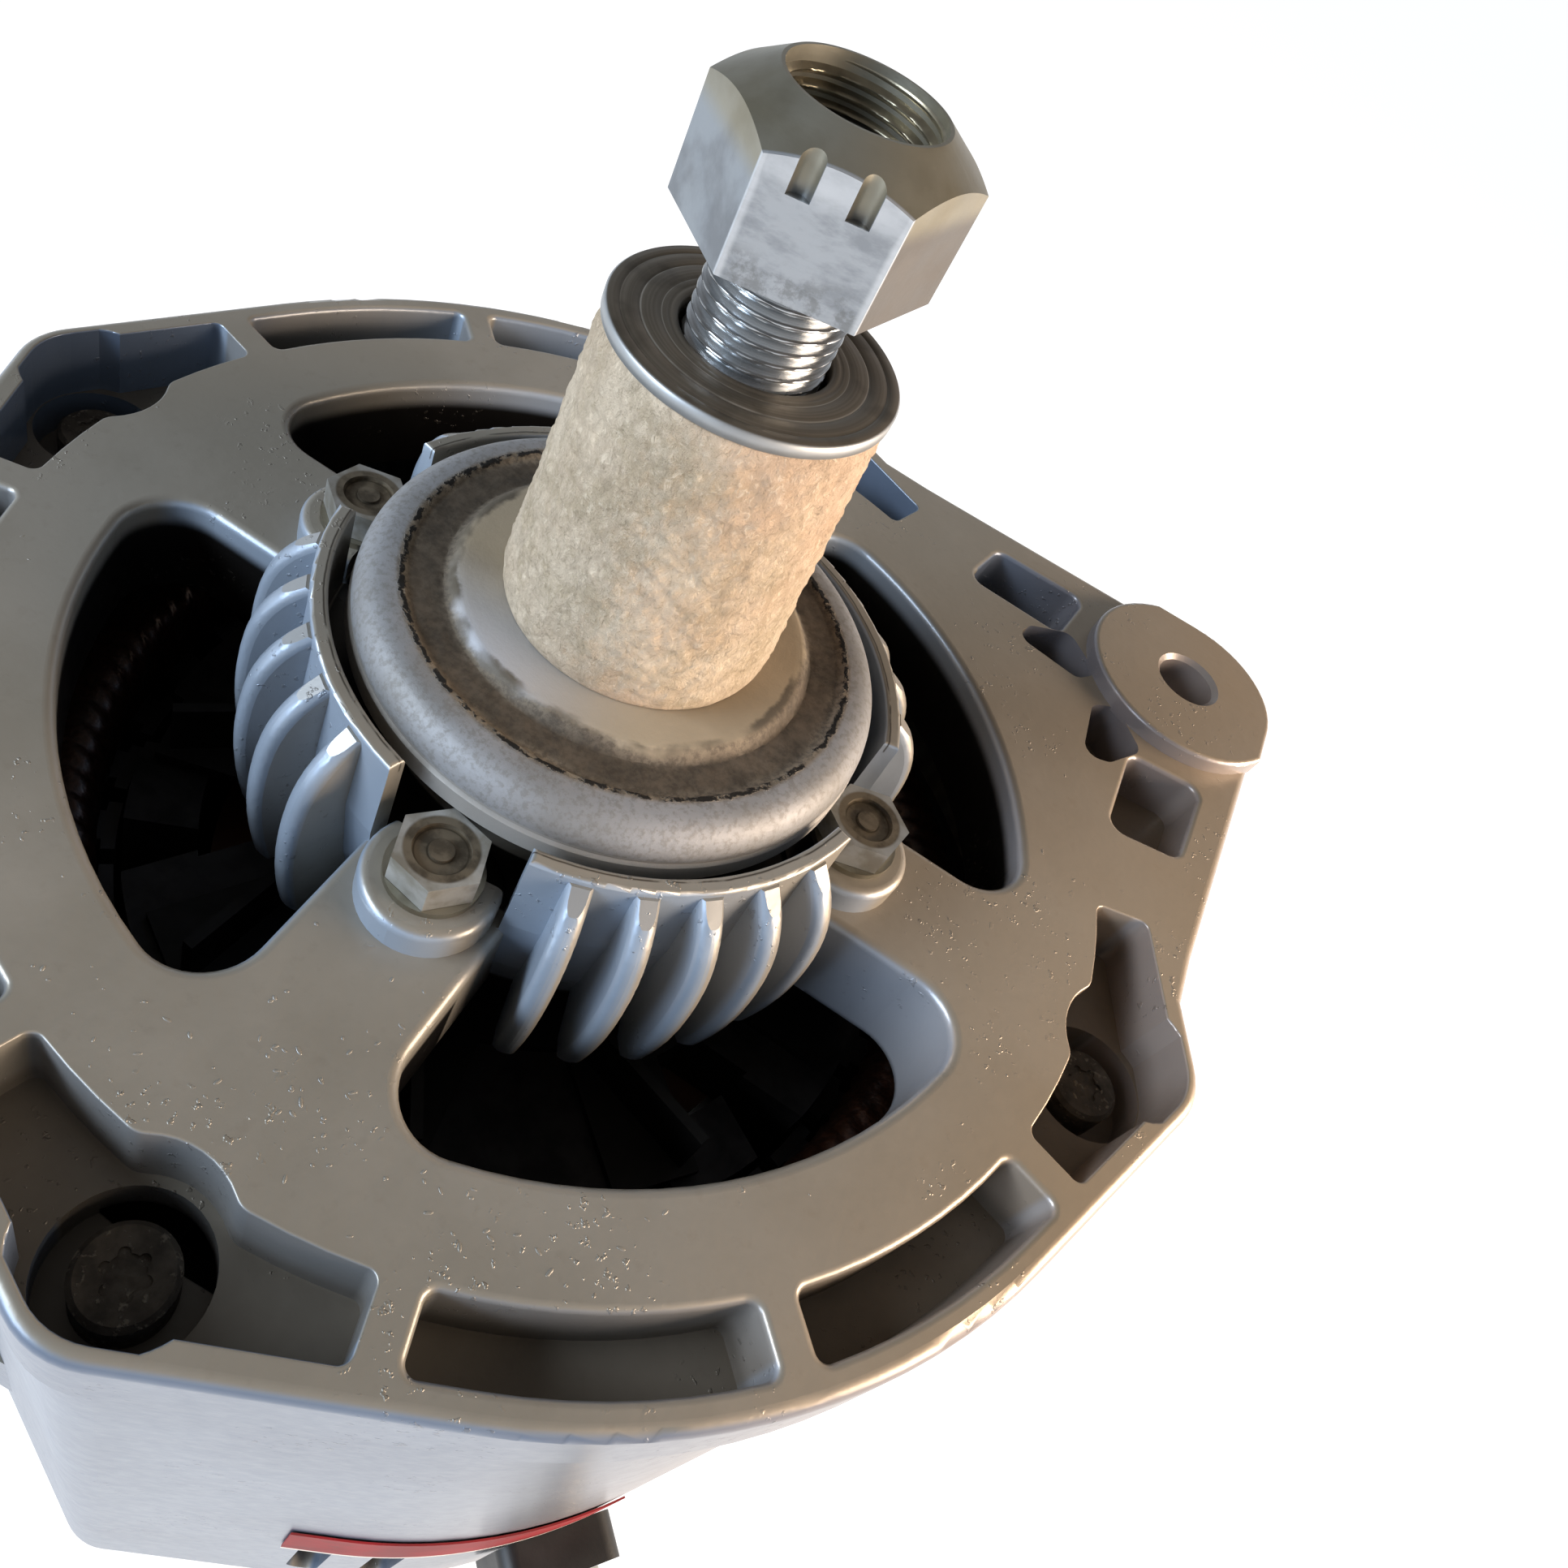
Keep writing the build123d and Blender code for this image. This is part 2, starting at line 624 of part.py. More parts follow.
def cover_screws():
    with BuildPart() as screws:
        with BuildSketch(Plane.XY.offset(2.4)):
            with PolarLocations(COVER_SCREW_PCR, 4, start_angle=COVER_SCREW_ANGLE):
                Circle(4.5)
        extrude(amount=3.55)
        with BuildSketch(Plane.XY.offset(5.9)):
            with PolarLocations(COVER_SCREW_PCR, 4, start_angle=COVER_SCREW_ANGLE):
                Circle(2.5)
        extrude(amount=45.5)
        with BuildSketch(Plane.XY.offset(2.4)):
            with PolarLocations(COVER_SCREW_PCR, 4, start_angle=COVER_SCREW_ANGLE):
                RegularPolygon(2.0, 6, major_radius=False)
        extrude(amount=2.2, mode=Mode.SUBTRACT)
    return screws.part


# ---- bearings ------------------------------------------------------------------
def race(inner, outer, low, high, pitch, groove):
    mid = (low + high) / 2
    with BuildPart() as body:
        with BuildSketch(Plane.XY.offset(low)):
            Circle(outer)
            Circle(inner, mode=Mode.SUBTRACT)
        extrude(amount=high - low)
        with BuildSketch(Plane.XZ):
            with Locations((pitch, mid)):
                Circle(groove)
        revolve(axis=Axis.Z, mode=Mode.SUBTRACT)
    return body.part


def balls(count, radius, pitch, mid):
    with BuildPart() as body:
        with Locations(Location((0, 0, mid))):
            with PolarLocations(pitch, count):
                Sphere(radius)
    return body.part


def cage(count, ball, pitch, mid, half_t, half_h):
    with BuildPart() as body:
        with BuildSketch(Plane.XY.offset(mid - half_h)):
            Circle(pitch + half_t)
            Circle(pitch - half_t, mode=Mode.SUBTRACT)
        extrude(amount=2 * half_h)
        for i in range(count):
            with BuildSketch(outward_plane(360.0 / count * i, pitch - 2 * half_t, mid)):
                Circle(ball + 0.25)
            extrude(amount=4 * half_t, mode=Mode.SUBTRACT)
    return body.part


def bearing_retainer():
    top = FACE_Z - HUB_DEPTH
    with BuildPart() as plate:
        with BuildSketch(Plane.XY.offset(top - 4.0)):
            Circle(34.0)
            with PolarLocations(HUB_BOLT_R, 4):
                Circle(7.5)
            Rectangle(2 * HUB_BOLT_R, 15)
            Rectangle(15, 2 * HUB_BOLT_R)
            Circle(27.5, mode=Mode.SUBTRACT)
            with PolarLocations(HUB_BOLT_R, 4):
                Circle(3.03, mode=Mode.SUBTRACT)
        extrude(amount=3.98)
    return plate.part


# ---- stator --------------------------------------------------------------------
def stator_core():
    low, high = STACK_Z
    with BuildPart() as core:
        with BuildSketch(Plane.XY.offset(low + 0.02)):
            Circle(STATOR_R)
            Circle(STATOR_BORE_R, mode=Mode.SUBTRACT)
            for i in range(SLOTS):
                a = 360.0 / SLOTS * i
                with Locations(Location(polar(68.2, a), a)):
                    Rectangle(11.6, SLOT_W, mode=Mode.SUBTRACT)
                with Locations(Location(polar(61.5, a), a)):
                    Rectangle(3.4, 2.6, mode=Mode.SUBTRACT)
        extrude(amount=high - low - 0.04)
    return core.part


def stator_windings():
    low, high = STACK_Z
    with BuildPart() as coils:
        with BuildSketch(Plane.XY.offset(low - 4.0)):
            for i in range(SLOTS):
                a = 360.0 / SLOTS * i
                with Locations(Location(polar(68.2, a), a)):
                    Rectangle(10.8, SLOT_W - 0.6)
        extrude(amount=high - low + 8.0)
        for z0, z1 in ((low - 16.5, low - 1.0), (high + 1.0, high + 16.5)):
            with BuildSketch(Plane.XY.offset(z0)):
                Circle(73.0)
                Circle(62.5, mode=Mode.SUBTRACT)
            extrude(amount=z1 - z0)
    return coils.part


# ---- rotor ---------------------------------------------------------------------
def rotor_shaft():
    return lathe(
        (
            (0, 6.0),
            (6.5, 6.0),
            (6.5, 39.0),
            (REAR_JOURNAL_R, 39.0),
            (REAR_JOURNAL_R, 54.2),
            (BEARING_SHAFT_R, 56.0),
            (BEARING_SHAFT_R, FRONT_BEARING_Z[1]),
            (PULLEY_SHAFT_R, FRONT_BEARING_Z[1]),
            (PULLEY_SHAFT_R, SEAT_END),
            (THREAD_R, SEAT_END),
            (THREAD_R, SHAFT_END - 1.0),
            (THREAD_R - 1.0, SHAFT_END),
            (0, SHAFT_END),
        )
    )


def claw_pole(disc_z, far_z, phase):
    """Disc with six fingers that reach along the axis over the field coil."""
    rising = far_z > disc_z
    low = disc_z if rising else disc_z - CLAW_DISC_T
    step = 1.0 if rising else -1.0
    with BuildPart() as claw:
        for i in range(POLES):
            a = 360.0 / POLES * i + phase
            with BuildSketch(outward_plane(a, 44.0, 0.0)):
                with BuildLine():
                    Polyline(
                        (-14.5, disc_z),
                        (14.5, disc_z),
                        (14.5, disc_z + step * CLAW_DISC_T),
                        (7.0, far_z - step * 1.0),
                        (-7.0, far_z - step * 1.0),
                        (-14.5, disc_z + step * CLAW_DISC_T),
                        close=True,
                    )
                make_face()
            extrude(amount=30.0)
        with BuildSketch(Plane.XY.offset(CLAW_Z[0])):
            Circle(ROTOR_R)
            Circle(49.5, mode=Mode.SUBTRACT)
        extrude(amount=CLAW_Z[1] - CLAW_Z[0], mode=Mode.INTERSECT)
        with BuildSketch(Plane.XY.offset(low)):
            Circle(40.0)
            for i in range(POLES):
                a = 360.0 / POLES * i + phase
                with Locations(Location(polar(26.0, a), a)):
                    Rectangle(52.0, 27.0)
            Circle(BEARING_SHAFT_R + 0.02, mode=Mode.SUBTRACT)
        extrude(amount=CLAW_DISC_T)
    return claw.part


def field_bobbin():
    low, high = CLAW_Z[0] + CLAW_DISC_T + 0.3, CLAW_Z[1] - CLAW_DISC_T - 0.3
    return lathe(
        (
            (CORE_R + 0.3, low),
            (47.5, low),
            (47.5, low + 1.4),
            (CORE_R + 1.8, low + 1.4),
            (CORE_R + 1.8, high - 1.4),
            (47.5, high - 1.4),
            (47.5, high),
            (CORE_R + 0.3, high),
        )
    )


def fan(base_z, tip_z, blades, bore):
    low = min(base_z, tip_z)
    rising = tip_z > base_z
    plate_low = base_z if rising else base_z - 1.5
    with BuildPart() as wheel:
        with BuildSketch(Plane.XY.offset(plate_low)):
            Circle(36.0)
            for i in range(blades):
                a = 360.0 / blades * i
                with Locations(Location(polar(44.0, a), a)):
                    Rectangle(26.0, 13.0)
            Circle(bore, mode=Mode.SUBTRACT)
        extrude(amount=1.5)
        with BuildSketch(Plane.XY.offset(low)):
            for i in range(blades):
                a = 360.0 / blades * i
                with Locations(Location(polar(45.5, a), a + 24.0)):
                    Rectangle(22.0, 1.6)
        extrude(amount=abs(tip_z - base_z))
    return wheel.part


def slinger():
    z = FACE_Z
    with BuildPart() as body:
        with BuildSketch(Plane.XZ):
            with BuildLine():
                Polyline(
                    (30.4, z + 18.6),
                    (29.2, z + 18.6),
                    (28.6, z + 18.1),
                    (24.4, z + 18.1),
                    (23.0, z + 19.5),
                    (11.03, z + 19.5),
                    (11.03, z - 1.98),
                    (16.4, z - 1.98),
                    (16.4, z + 4.0),
                    (20.5, z + 4.0),
                    (20.5, z + 13.0),
                    (31.5, z + 13.0),
                    (31.5, z + 9.6),
                    (34.5, z + 9.6),
                    (35.0, z + 10.1),
                    (35.0, z + 12.6),
                    (34.5, z + 13.1),
                    (34.5, z + 13.5),
                    (34.8, z + 13.8),
                )
                ThreePointArc((34.8, z + 13.8), (33.6, z + 17.2), (30.4, z + 18.6))
            make_face()
        revolve(axis=Axis.Z)
    return body.part


def cardboard_sleeve():
    return lathe(
        (
            (11.7, SLEEVE_Z[0]),
            (17.6, SLEEVE_Z[0]),
            (18.1, SLEEVE_Z[0] + 0.8),
            (17.2, SLEEVE_Z[0] + 14.0),
            (16.4, SLEEVE_Z[1] - 0.4),
            (16.1, SLEEVE_Z[1]),
            (11.7, SLEEVE_Z[1]),
        )
    )


def shaft_washer():
    low, high = WASHER_Z
    return lathe(
        ((8.6, low), (16.2, low), (16.46, low + 0.25), (16.46, high - 0.25), (16.2, high), (8.6, high))
    )


def shaft_nut():
    low, high = NUT_Z
    with BuildPart() as nut:
        with BuildSketch(Plane.XY.offset(low)):
            RegularPolygon(NUT_AF / 2, 6, major_radius=False, rotation=NUT_TURN)
        extrude(amount=high - low)
        with BuildSketch(Plane.XZ):
            with BuildLine():
                Polyline((8.4, high), (0, high), (0, low), (15.0, low), (15.0, high - 4.4), close=True)
            make_face()
        revolve(axis=Axis.Z, mode=Mode.INTERSECT)
        with BuildSketch(Plane.XY.offset(low - 1)):
            Circle(THREAD_R + 0.08)
        extrude(amount=high - low + 2, mode=Mode.SUBTRACT)
        # two half-round notches in the top edge of one flat
        with BuildSketch(Plane.XY.offset(low + 9.2)):
            for side in (-2.8, 2.8):
                u = math.radians(NOTCH_ANGLE)
                x = NUT_AF / 2 * math.cos(u) - side * math.sin(u)
                y = NUT_AF / 2 * math.sin(u) + side * math.cos(u)
                with Locations((x, y)):
                    Circle(1.15)
        extrude(amount=10, mode=Mode.SUBTRACT)
    return nut.part


# ---- slip rings, brushes, electrics ----------------------------------------------
def slip_rings():
    with BuildPart() as rings:
        for low, high in RING_Z:
            with BuildSketch(Plane.XY.offset(low)):
                Circle(SLIP_RING_R)
                Circle(9.02, mode=Mode.SUBTRACT)
            extrude(amount=high - low)
    return rings.part


def brush(index):
    low, high = RING_Z[index]
    mid = (low + high) / 2
    with BuildPart() as block:
        with BuildSketch(Plane.XY.offset(mid - BRUSH_Z / 2)):
            with Locations((12.0 + (BRUSH_LEN + 1.0) / 2, 0)):
                Rectangle(BRUSH_LEN + 1.0, BRUSH_Y)
            Circle(SLIP_RING_R + BRUSH_GAP, mode=Mode.SUBTRACT)
        extrude(amount=BRUSH_Z)
    return block.part


def brush_spring(index):
    """Coil spring along X between the brush and the outer end of its channel."""
    low, high = RING_Z[index]
    mid = (low + high) / 2
    start = 12.0 + BRUSH_LEN + 1.0 + 0.45
    length = SPRING_END_X - start - 0.5
    wire = 0.32
    with BuildPart() as coil:
        with BuildLine():
            path = Helix(length / 6.0, length, 1.7, center=(start, 0, mid), direction=(1, 0, 0))
        with BuildSketch(Plane(origin=path @ 0, z_dir=path % 0)):
            Circle(wire)
        sweep(path=path, is_frenet=True)
    return coil.part


def brush_holder():
    with BuildPart() as holder:
        with BuildSketch(Plane.XY.offset(4.0)):
            with Locations((30.0, 0)):
                Rectangle(30.0, 20.0)
            with Locations((40.5, 0)):
                Rectangle(9.0, 44.0)
        extrude(amount=30.0)
        with BuildSketch(Plane.XY.offset(-1)):
            Circle(SLIP_RING_R + 1.2)
        extrude(amount=60, mode=Mode.SUBTRACT)
        for low, high in RING_Z:
            mid = (low + high) / 2
            with BuildSketch(Plane.YZ.offset(10.0)):
                with Locations((0, mid)):
                    Rectangle(BRUSH_Y + 0.3, BRUSH_Z + 0.3)
            extrude(amount=SPRING_END_X - 10.0, mode=Mode.SUBTRACT)
        with BuildSketch(Plane.XY.offset(-1)):
            with Locations((40.5, 17.0), (40.5, -17.0)):
                Circle(2.2)
        extrude(amount=60, mode=Mode.SUBTRACT)
    return holder.part


def regulator():
    with BuildPart() as box:
        with BuildSketch(Plane.XY.offset(8.0)):
            with Locations((56.0, 0)):
                Rectangle(20.0, 40.0)
        extrude(amount=20.0)
        with BuildSketch(Plane.XY.offset(18.0)):
            for i in range(7):
                with Locations((56.0, -18.0 + 6.0 * i)):
                    Rectangle(18.0, 3.2)
        extrude(amount=12.0, mode=Mode.SUBTRACT)
    return box.part


def regulator_case():
    with BuildPart() as case:
        with BuildSketch(Plane.XY.offset(4.0)):
            with Locations((56.4, 0)):
                RectangleRounded(21.6, 44.0, 2.0)
        extrude(amount=3.9)
    return case.part


def heat_sink(low, high, inner, outer, a0, a1):
    """C-shaped plate, open over the brush holder."""
    with BuildPart() as plate:
        with BuildSketch(Plane.XY.offset(low)):
            with BuildLine():
                ThreePointArc(polar(outer, a0), polar(outer, (a0 + a1) / 2), polar(outer, a1))
                Line(polar(outer, a1), polar(inner, a1))
                ThreePointArc(polar(inner, a1), polar(inner, (a0 + a1) / 2), polar(inner, a0))
                Line(polar(inner, a0), polar(outer, a0))
            make_face()
            with PolarLocations(COVER_SCREW_PCR, 4, start_angle=COVER_SCREW_ANGLE):
                Circle(7.6, mode=Mode.SUBTRACT)
            for a in DIODE_ANGLES:
                with Locations(polar(49.0, a)):
                    Circle(6.42, mode=Mode.SUBTRACT)
        extrude(amount=high - low)
    return plate.part


def diodes(low, high, lead_low, lead_high):
    with BuildPart() as cells:
        for a in DIODE_ANGLES:
            with BuildSketch(Plane.XY.offset(low)):
                with Locations(polar(49.0, a)):
                    Circle(6.4)
            extrude(amount=high - low)
            with BuildSketch(Plane.XY.offset(lead_low)):
                with Locations(polar(49.0, a)):
                    Circle(0.8)
            extrude(amount=lead_high - lead_low)
    return cells.part


def capacitor():
    with BuildPart() as can:
        with BuildSketch(Plane.XY.offset(6.0)):
            with Locations(polar(64.0, 332.0)):
                Circle(6.5)
        extrude(amount=26.0)
    return can.part


def terminal_insulator():
    with BuildPart() as block:
        with BuildSketch(outward_plane(TERMINAL_ANGLE, BUSBAR_R + 1.65, TERMINAL_Z)):
            Circle(6.0)
        extrude(amount=WALL_R + 0.3 - BUSBAR_R - 1.65)
        with BuildSketch(outward_plane(TERMINAL_ANGLE, WALL_R + 0.3, TERMINAL_Z)):
            RectangleRounded(INSULATOR_SIDE, INSULATOR_SIDE, 3.0)
        extrude(amount=7.0)
        with BuildSketch(outward_plane(TERMINAL_ANGLE, 70.0, TERMINAL_Z)):
            Circle(STUD_SHANK_R + 0.25)
        extrude(amount=40.0, mode=Mode.SUBTRACT)
    return block.part


def output_stud():
    with BuildPart() as stud:
        with BuildSketch(outward_plane(TERMINAL_ANGLE, BUSBAR_R - 3.05, TERMINAL_Z)):
            RegularPolygon(6.0, 6, major_radius=False)
        extrude(amount=3.0)
        with BuildSketch(outward_plane(TERMINAL_ANGLE, BUSBAR_R - 0.05, TERMINAL_Z)):
            Circle(STUD_SHANK_R)
        extrude(amount=STUD_FREE[0] - BUSBAR_R + 0.05)
        with BuildSketch(outward_plane(TERMINAL_ANGLE, STUD_FREE[0], TERMINAL_Z)):
            Circle(STUD_R)
        extrude(amount=STUD_FREE[1] - STUD_FREE[0])
        chamfer(stud.faces().sort_by(lambda f: math.hypot(f.center().X, f.center().Y))[-1].edges(), 0.7)
    return stud.part


def output_nut():
    with BuildPart() as nut:
        with BuildSketch(outward_plane(TERMINAL_ANGLE, 97.1, TERMINAL_Z)):
            RegularPolygon(6.5, 6, major_radius=False)
            Circle(STUD_SHANK_R + 0.05, mode=Mode.SUBTRACT)
        extrude(amount=6.5)
    return nut.part


def output_washer():
    with BuildPart() as washer:
        with BuildSketch(outward_plane(TERMINAL_ANGLE, 95.55, TERMINAL_Z)):
            Circle(8.0)
            Circle(STUD_SHANK_R + 0.3, mode=Mode.SUBTRACT)
        extrude(amount=1.5)
    return washer.part


def output_busbar():
    low, high = POSITIVE_Z[1] + 0.02, TERMINAL_Z + 6.5
    with BuildPart() as bar:
        with BuildSketch(outward_plane(TERMINAL_ANGLE, BUSBAR_R, 0.0)):
            with Locations((0, (low + high) / 2)):
                Rectangle(9.0, high - low)
            with Locations((0, TERMINAL_Z)):
                Circle(STUD_SHANK_R + 0.1, mode=Mode.SUBTRACT)
        extrude(amount=1.6)
        with BuildSketch(Plane.XY.offset(low)):
            with Locations(Location(polar(72.5, TERMINAL_ANGLE), TERMINAL_ANGLE)):
                Rectangle(11.0, 9.0)
        extrude(amount=1.6)
    return bar.part


def signal_connector():
    with BuildPart() as plug:
        with BuildSketch(outward_plane(CONNECTOR_ANGLE, WALL_R + 0.3, 74.0)):
            RectangleRounded(18.0, 15.0, 2.0)
        extrude(amount=12.0)
        with BuildSketch(outward_plane(CONNECTOR_ANGLE, WALL_R + 12.3, 74.0)):
            RectangleRounded(14.5, 11.5, 1.2)
        extrude(amount=4.0)
    return plug.part


def side_label():
    low, high = LABEL_Z
    first, last = LABEL_ANGLES
    with BuildPart() as sheet:
        with BuildSketch(Plane.XY.offset(low)):
            add(outline(FLANGE_R - WALL_R - 0.55))
            add(outline(FLANGE_R - WALL_R - 0.25), mode=Mode.SUBTRACT)
            Polygon((0, 0), polar(140, first), polar(140, last), align=None, mode=Mode.INTERSECT)
        extrude(amount=high - low)
    return sheet.part


def front_mid():
    return (FRONT_BEARING_Z[0] + FRONT_BEARING_Z[1]) / 2


def rear_mid():
    return (REAR_BEARING_Z[0] + REAR_BEARING_Z[1]) / 2


def all_parts():
    fz = FRONT_BEARING_Z
    rz = REAR_BEARING_Z
    fp, fg = FRONT_PITCH_R, FRONT_BALL_R + 0.1
    rp, rg = REAR_PITCH_R, REAR_BALL_R + 0.07
    return {
        "drive_end_frame": drive_end_frame(),
        "rear_end_frame": rear_end_frame(),
        "rear_cover": rear_cover(),
        "through_bolts": through_bolts(),
        "hub_bolts": hub_bolts(),
        "hub_bolt_washers": hub_bolt_washers(),
        "cover_screws": cover_screws(),
        "pivot_bushing": pivot_bushing(),
        "bearing_retainer": bearing_retainer(),
        "front_bearing_outer": race(25.4, 31.0, fz[0], fz[1] - 0.02, fp, fg),
        "front_bearing_inner": race(12.52, 18.1, fz[0], fz[1] - 0.02, fp, fg),
        "front_bearing_balls": balls(FRONT_BALLS, FRONT_BALL_R, fp, front_mid()),
        "front_bearing_cage": cage(FRONT_BALLS, FRONT_BALL_R, fp, front_mid(), 1.3, 7.0),
        "front_seal": ring(16.6, LIP_R, FACE_Z - 1.9, FACE_Z + 0.9),
        "rear_bearing_outer": race(16.7, 20.0, rz[0] + 0.02, rz[1], rp, rg),
        "rear_bearing_inner": race(8.52, 11.9, rz[0] + 0.02, rz[1], rp, rg),
        "rear_bearing_balls": balls(REAR_BALLS, REAR_BALL_R, rp, rear_mid()),
        "rear_bearing_cage": cage(REAR_BALLS, REAR_BALL_R, rp, rear_mid(), 0.9, 4.6),
        "stator_core": stator_core(),
        "stator_windings": stator_windings(),
        "rotor_shaft": rotor_shaft(),
        "rotor_core": ring(BEARING_SHAFT_R + 0.02, CORE_R, CLAW_Z[0] + CLAW_DISC_T, CLAW_Z[1] - CLAW_DISC_T),
        "front_claw_pole": claw_pole(CLAW_Z[1], CLAW_Z[0], 0.0),
        "rear_claw_pole": claw_pole(CLAW_Z[0], CLAW_Z[1], 30.0),
        "field_bobbin": field_bobbin(),
        "field_coil": ring(CORE_R + 2.1, 46.5, CLAW_Z[0] + CLAW_DISC_T + 2.0, CLAW_Z[1] - CLAW_DISC_T - 2.0),
        "front_fan": fan(CLAW_Z[1] + 0.02, CLAW_Z[1] + 10.5, 9, BEARING_SHAFT_R + 0.02),
        "rear_fan": fan(CLAW_Z[0] - 0.02, CLAW_Z[0] - 12.0, 11, BEARING_SHAFT_R + 0.02),
        "front_spacer": ring(BEARING_SHAFT_R + 0.02, 16.0, CLAW_Z[1] + 1.54, FRONT_BEARING_Z[0] - 0.02),
        "slip_rings": slip_rings(),
        "slip_ring_insulator": ring(6.52, 9.0, 7.0, 38.9),
        "slinger": slinger(),
        "cardboard_sleeve": cardboard_sleeve(),
        "shaft_washer": shaft_washer(),
        "shaft_nut": shaft_nut(),
        "brush_lower": brush(0),
        "brush_upper": brush(1),
        "brush_spring_lower": brush_spring(0),
        "brush_spring_upper": brush_spring(1),
        "brush_holder": brush_holder(),
        "regulator_heat_sink": regulator(),
        "regulator_case": regulator_case(),
        "positive_heat_sink": heat_sink(*POSITIVE_Z, 34.0, 73.0, 62.0, 321.0),
        "negative_heat_sink": heat_sink(*NEGATIVE_Z, 34.0, 73.0, 62.0, 298.0),
        "positive_diodes": diodes(17.0, 23.0, 23.0, 27.5),
        "negative_diodes": diodes(33.0, 38.0, 28.5, 33.0),
        "capacitor": capacitor(),
        "terminal_insulator": terminal_insulator(),
        "output_stud": output_stud(),
        "output_nut": output_nut(),
        "output_washer": output_washer(),
        "output_busbar": output_busbar(),
        "signal_connector": signal_connector(),
        "side_label": side_label(),
    }


os.makedirs("parts", exist_ok=True)
for name, part in all_parts().items():
    part.label = name
    export_step(part, "parts/" + name + ".step")
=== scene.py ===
"""Looks for the heavy-duty alternator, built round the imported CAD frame. Metres, Z up."""

import math
import random

import bpy
from mathutils import Matrix, Vector, noise


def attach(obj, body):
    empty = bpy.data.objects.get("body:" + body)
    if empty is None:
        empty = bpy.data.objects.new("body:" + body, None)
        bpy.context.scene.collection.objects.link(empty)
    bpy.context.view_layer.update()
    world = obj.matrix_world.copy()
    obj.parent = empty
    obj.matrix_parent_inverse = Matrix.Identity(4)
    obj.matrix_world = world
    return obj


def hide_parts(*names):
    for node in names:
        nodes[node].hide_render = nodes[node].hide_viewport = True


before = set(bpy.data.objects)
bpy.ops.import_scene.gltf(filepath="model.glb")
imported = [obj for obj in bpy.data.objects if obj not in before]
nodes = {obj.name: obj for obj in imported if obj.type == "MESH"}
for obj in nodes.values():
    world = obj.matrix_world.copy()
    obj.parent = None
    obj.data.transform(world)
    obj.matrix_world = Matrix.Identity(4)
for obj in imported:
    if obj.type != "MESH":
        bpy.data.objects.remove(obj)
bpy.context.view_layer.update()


def cad_high_of(name):
    """Greatest height of a CAD node."""
    made = nodes[name]
    return max((made.matrix_world @ Vector(corner)).z for corner in made.bound_box)


FACE = 0.190  # height of the front face
SEAT_END = FACE + 0.054
SHAFT_END = FACE + 0.079
SLEEVE_LOW, SLEEVE_HIGH = FACE + 0.0196, FACE + 0.0578
WASHER_LOW, WASHER_HIGH = FACE + 0.05795, FACE + 0.0597
NUT_LOW, NUT_HIGH = FACE + 0.0706, FACE + 0.0858
NUT_FLAT = 286.5  # degrees from X to the front flat
HUB_BOLT_TOP = cad_high_of("hub_bolts")
HUB_BOLT_CIRCLE = 0.040  # radius to the four hub bolts
PITCH = 0.0015  # of the shaft's thread
THREAD_TOP = SHAFT_END - 0.0012
THREAD_CREST, THREAD_ROOT = 0.00795, 0.00705
ROWS_PER_TURN = 16
BOLT_CIRCLE = 0.0864  # radius to the four through bolts
WINDING_R = 0.06775  # middle of the windings' end turns

# ---- camera: fitted to the spokes, window ring and bolts -----------------------
CAMERA_PLACE = (0.02435, -0.11347, 0.31452)
CAMERA_TURN = (
    (0.834668, -0.546134, 0.071190),
    (0.437109, 0.578245, -0.688889),
    (0.335061, 0.606111, 0.721362),
)
CAMERA_LENS, CAMERA_SENSOR = 28.125, 36.0
CAMERA_SHIFT = (0.06356, -0.03881)


def make_camera():
    data = bpy.data.cameras.new("camera")
    data.lens, data.sensor_width = CAMERA_LENS, CAMERA_SENSOR
    data.shift_x, data.shift_y = CAMERA_SHIFT
    data.clip_start, data.clip_end = 0.005, 50.0
    camera = bpy.data.objects.new("camera", data)
    camera.matrix_world = Matrix.Translation(CAMERA_PLACE) @ Matrix(CAMERA_TURN).to_4x4()
    bpy.context.scene.collection.objects.link(camera)
    bpy.context.scene.camera = camera


# ---- materials -------------------------------------------------------------------
def linear(code):
    """Colour like '7f7a70' as linear RGBA."""
    values = [int(code[i : i + 2], 16) / 255 for i in (0, 2, 4)]
    return tuple(v / 12.92 if v <= 0.04045 else ((v + 0.055) / 1.055) ** 2.4 for v in values) + (1.0,)


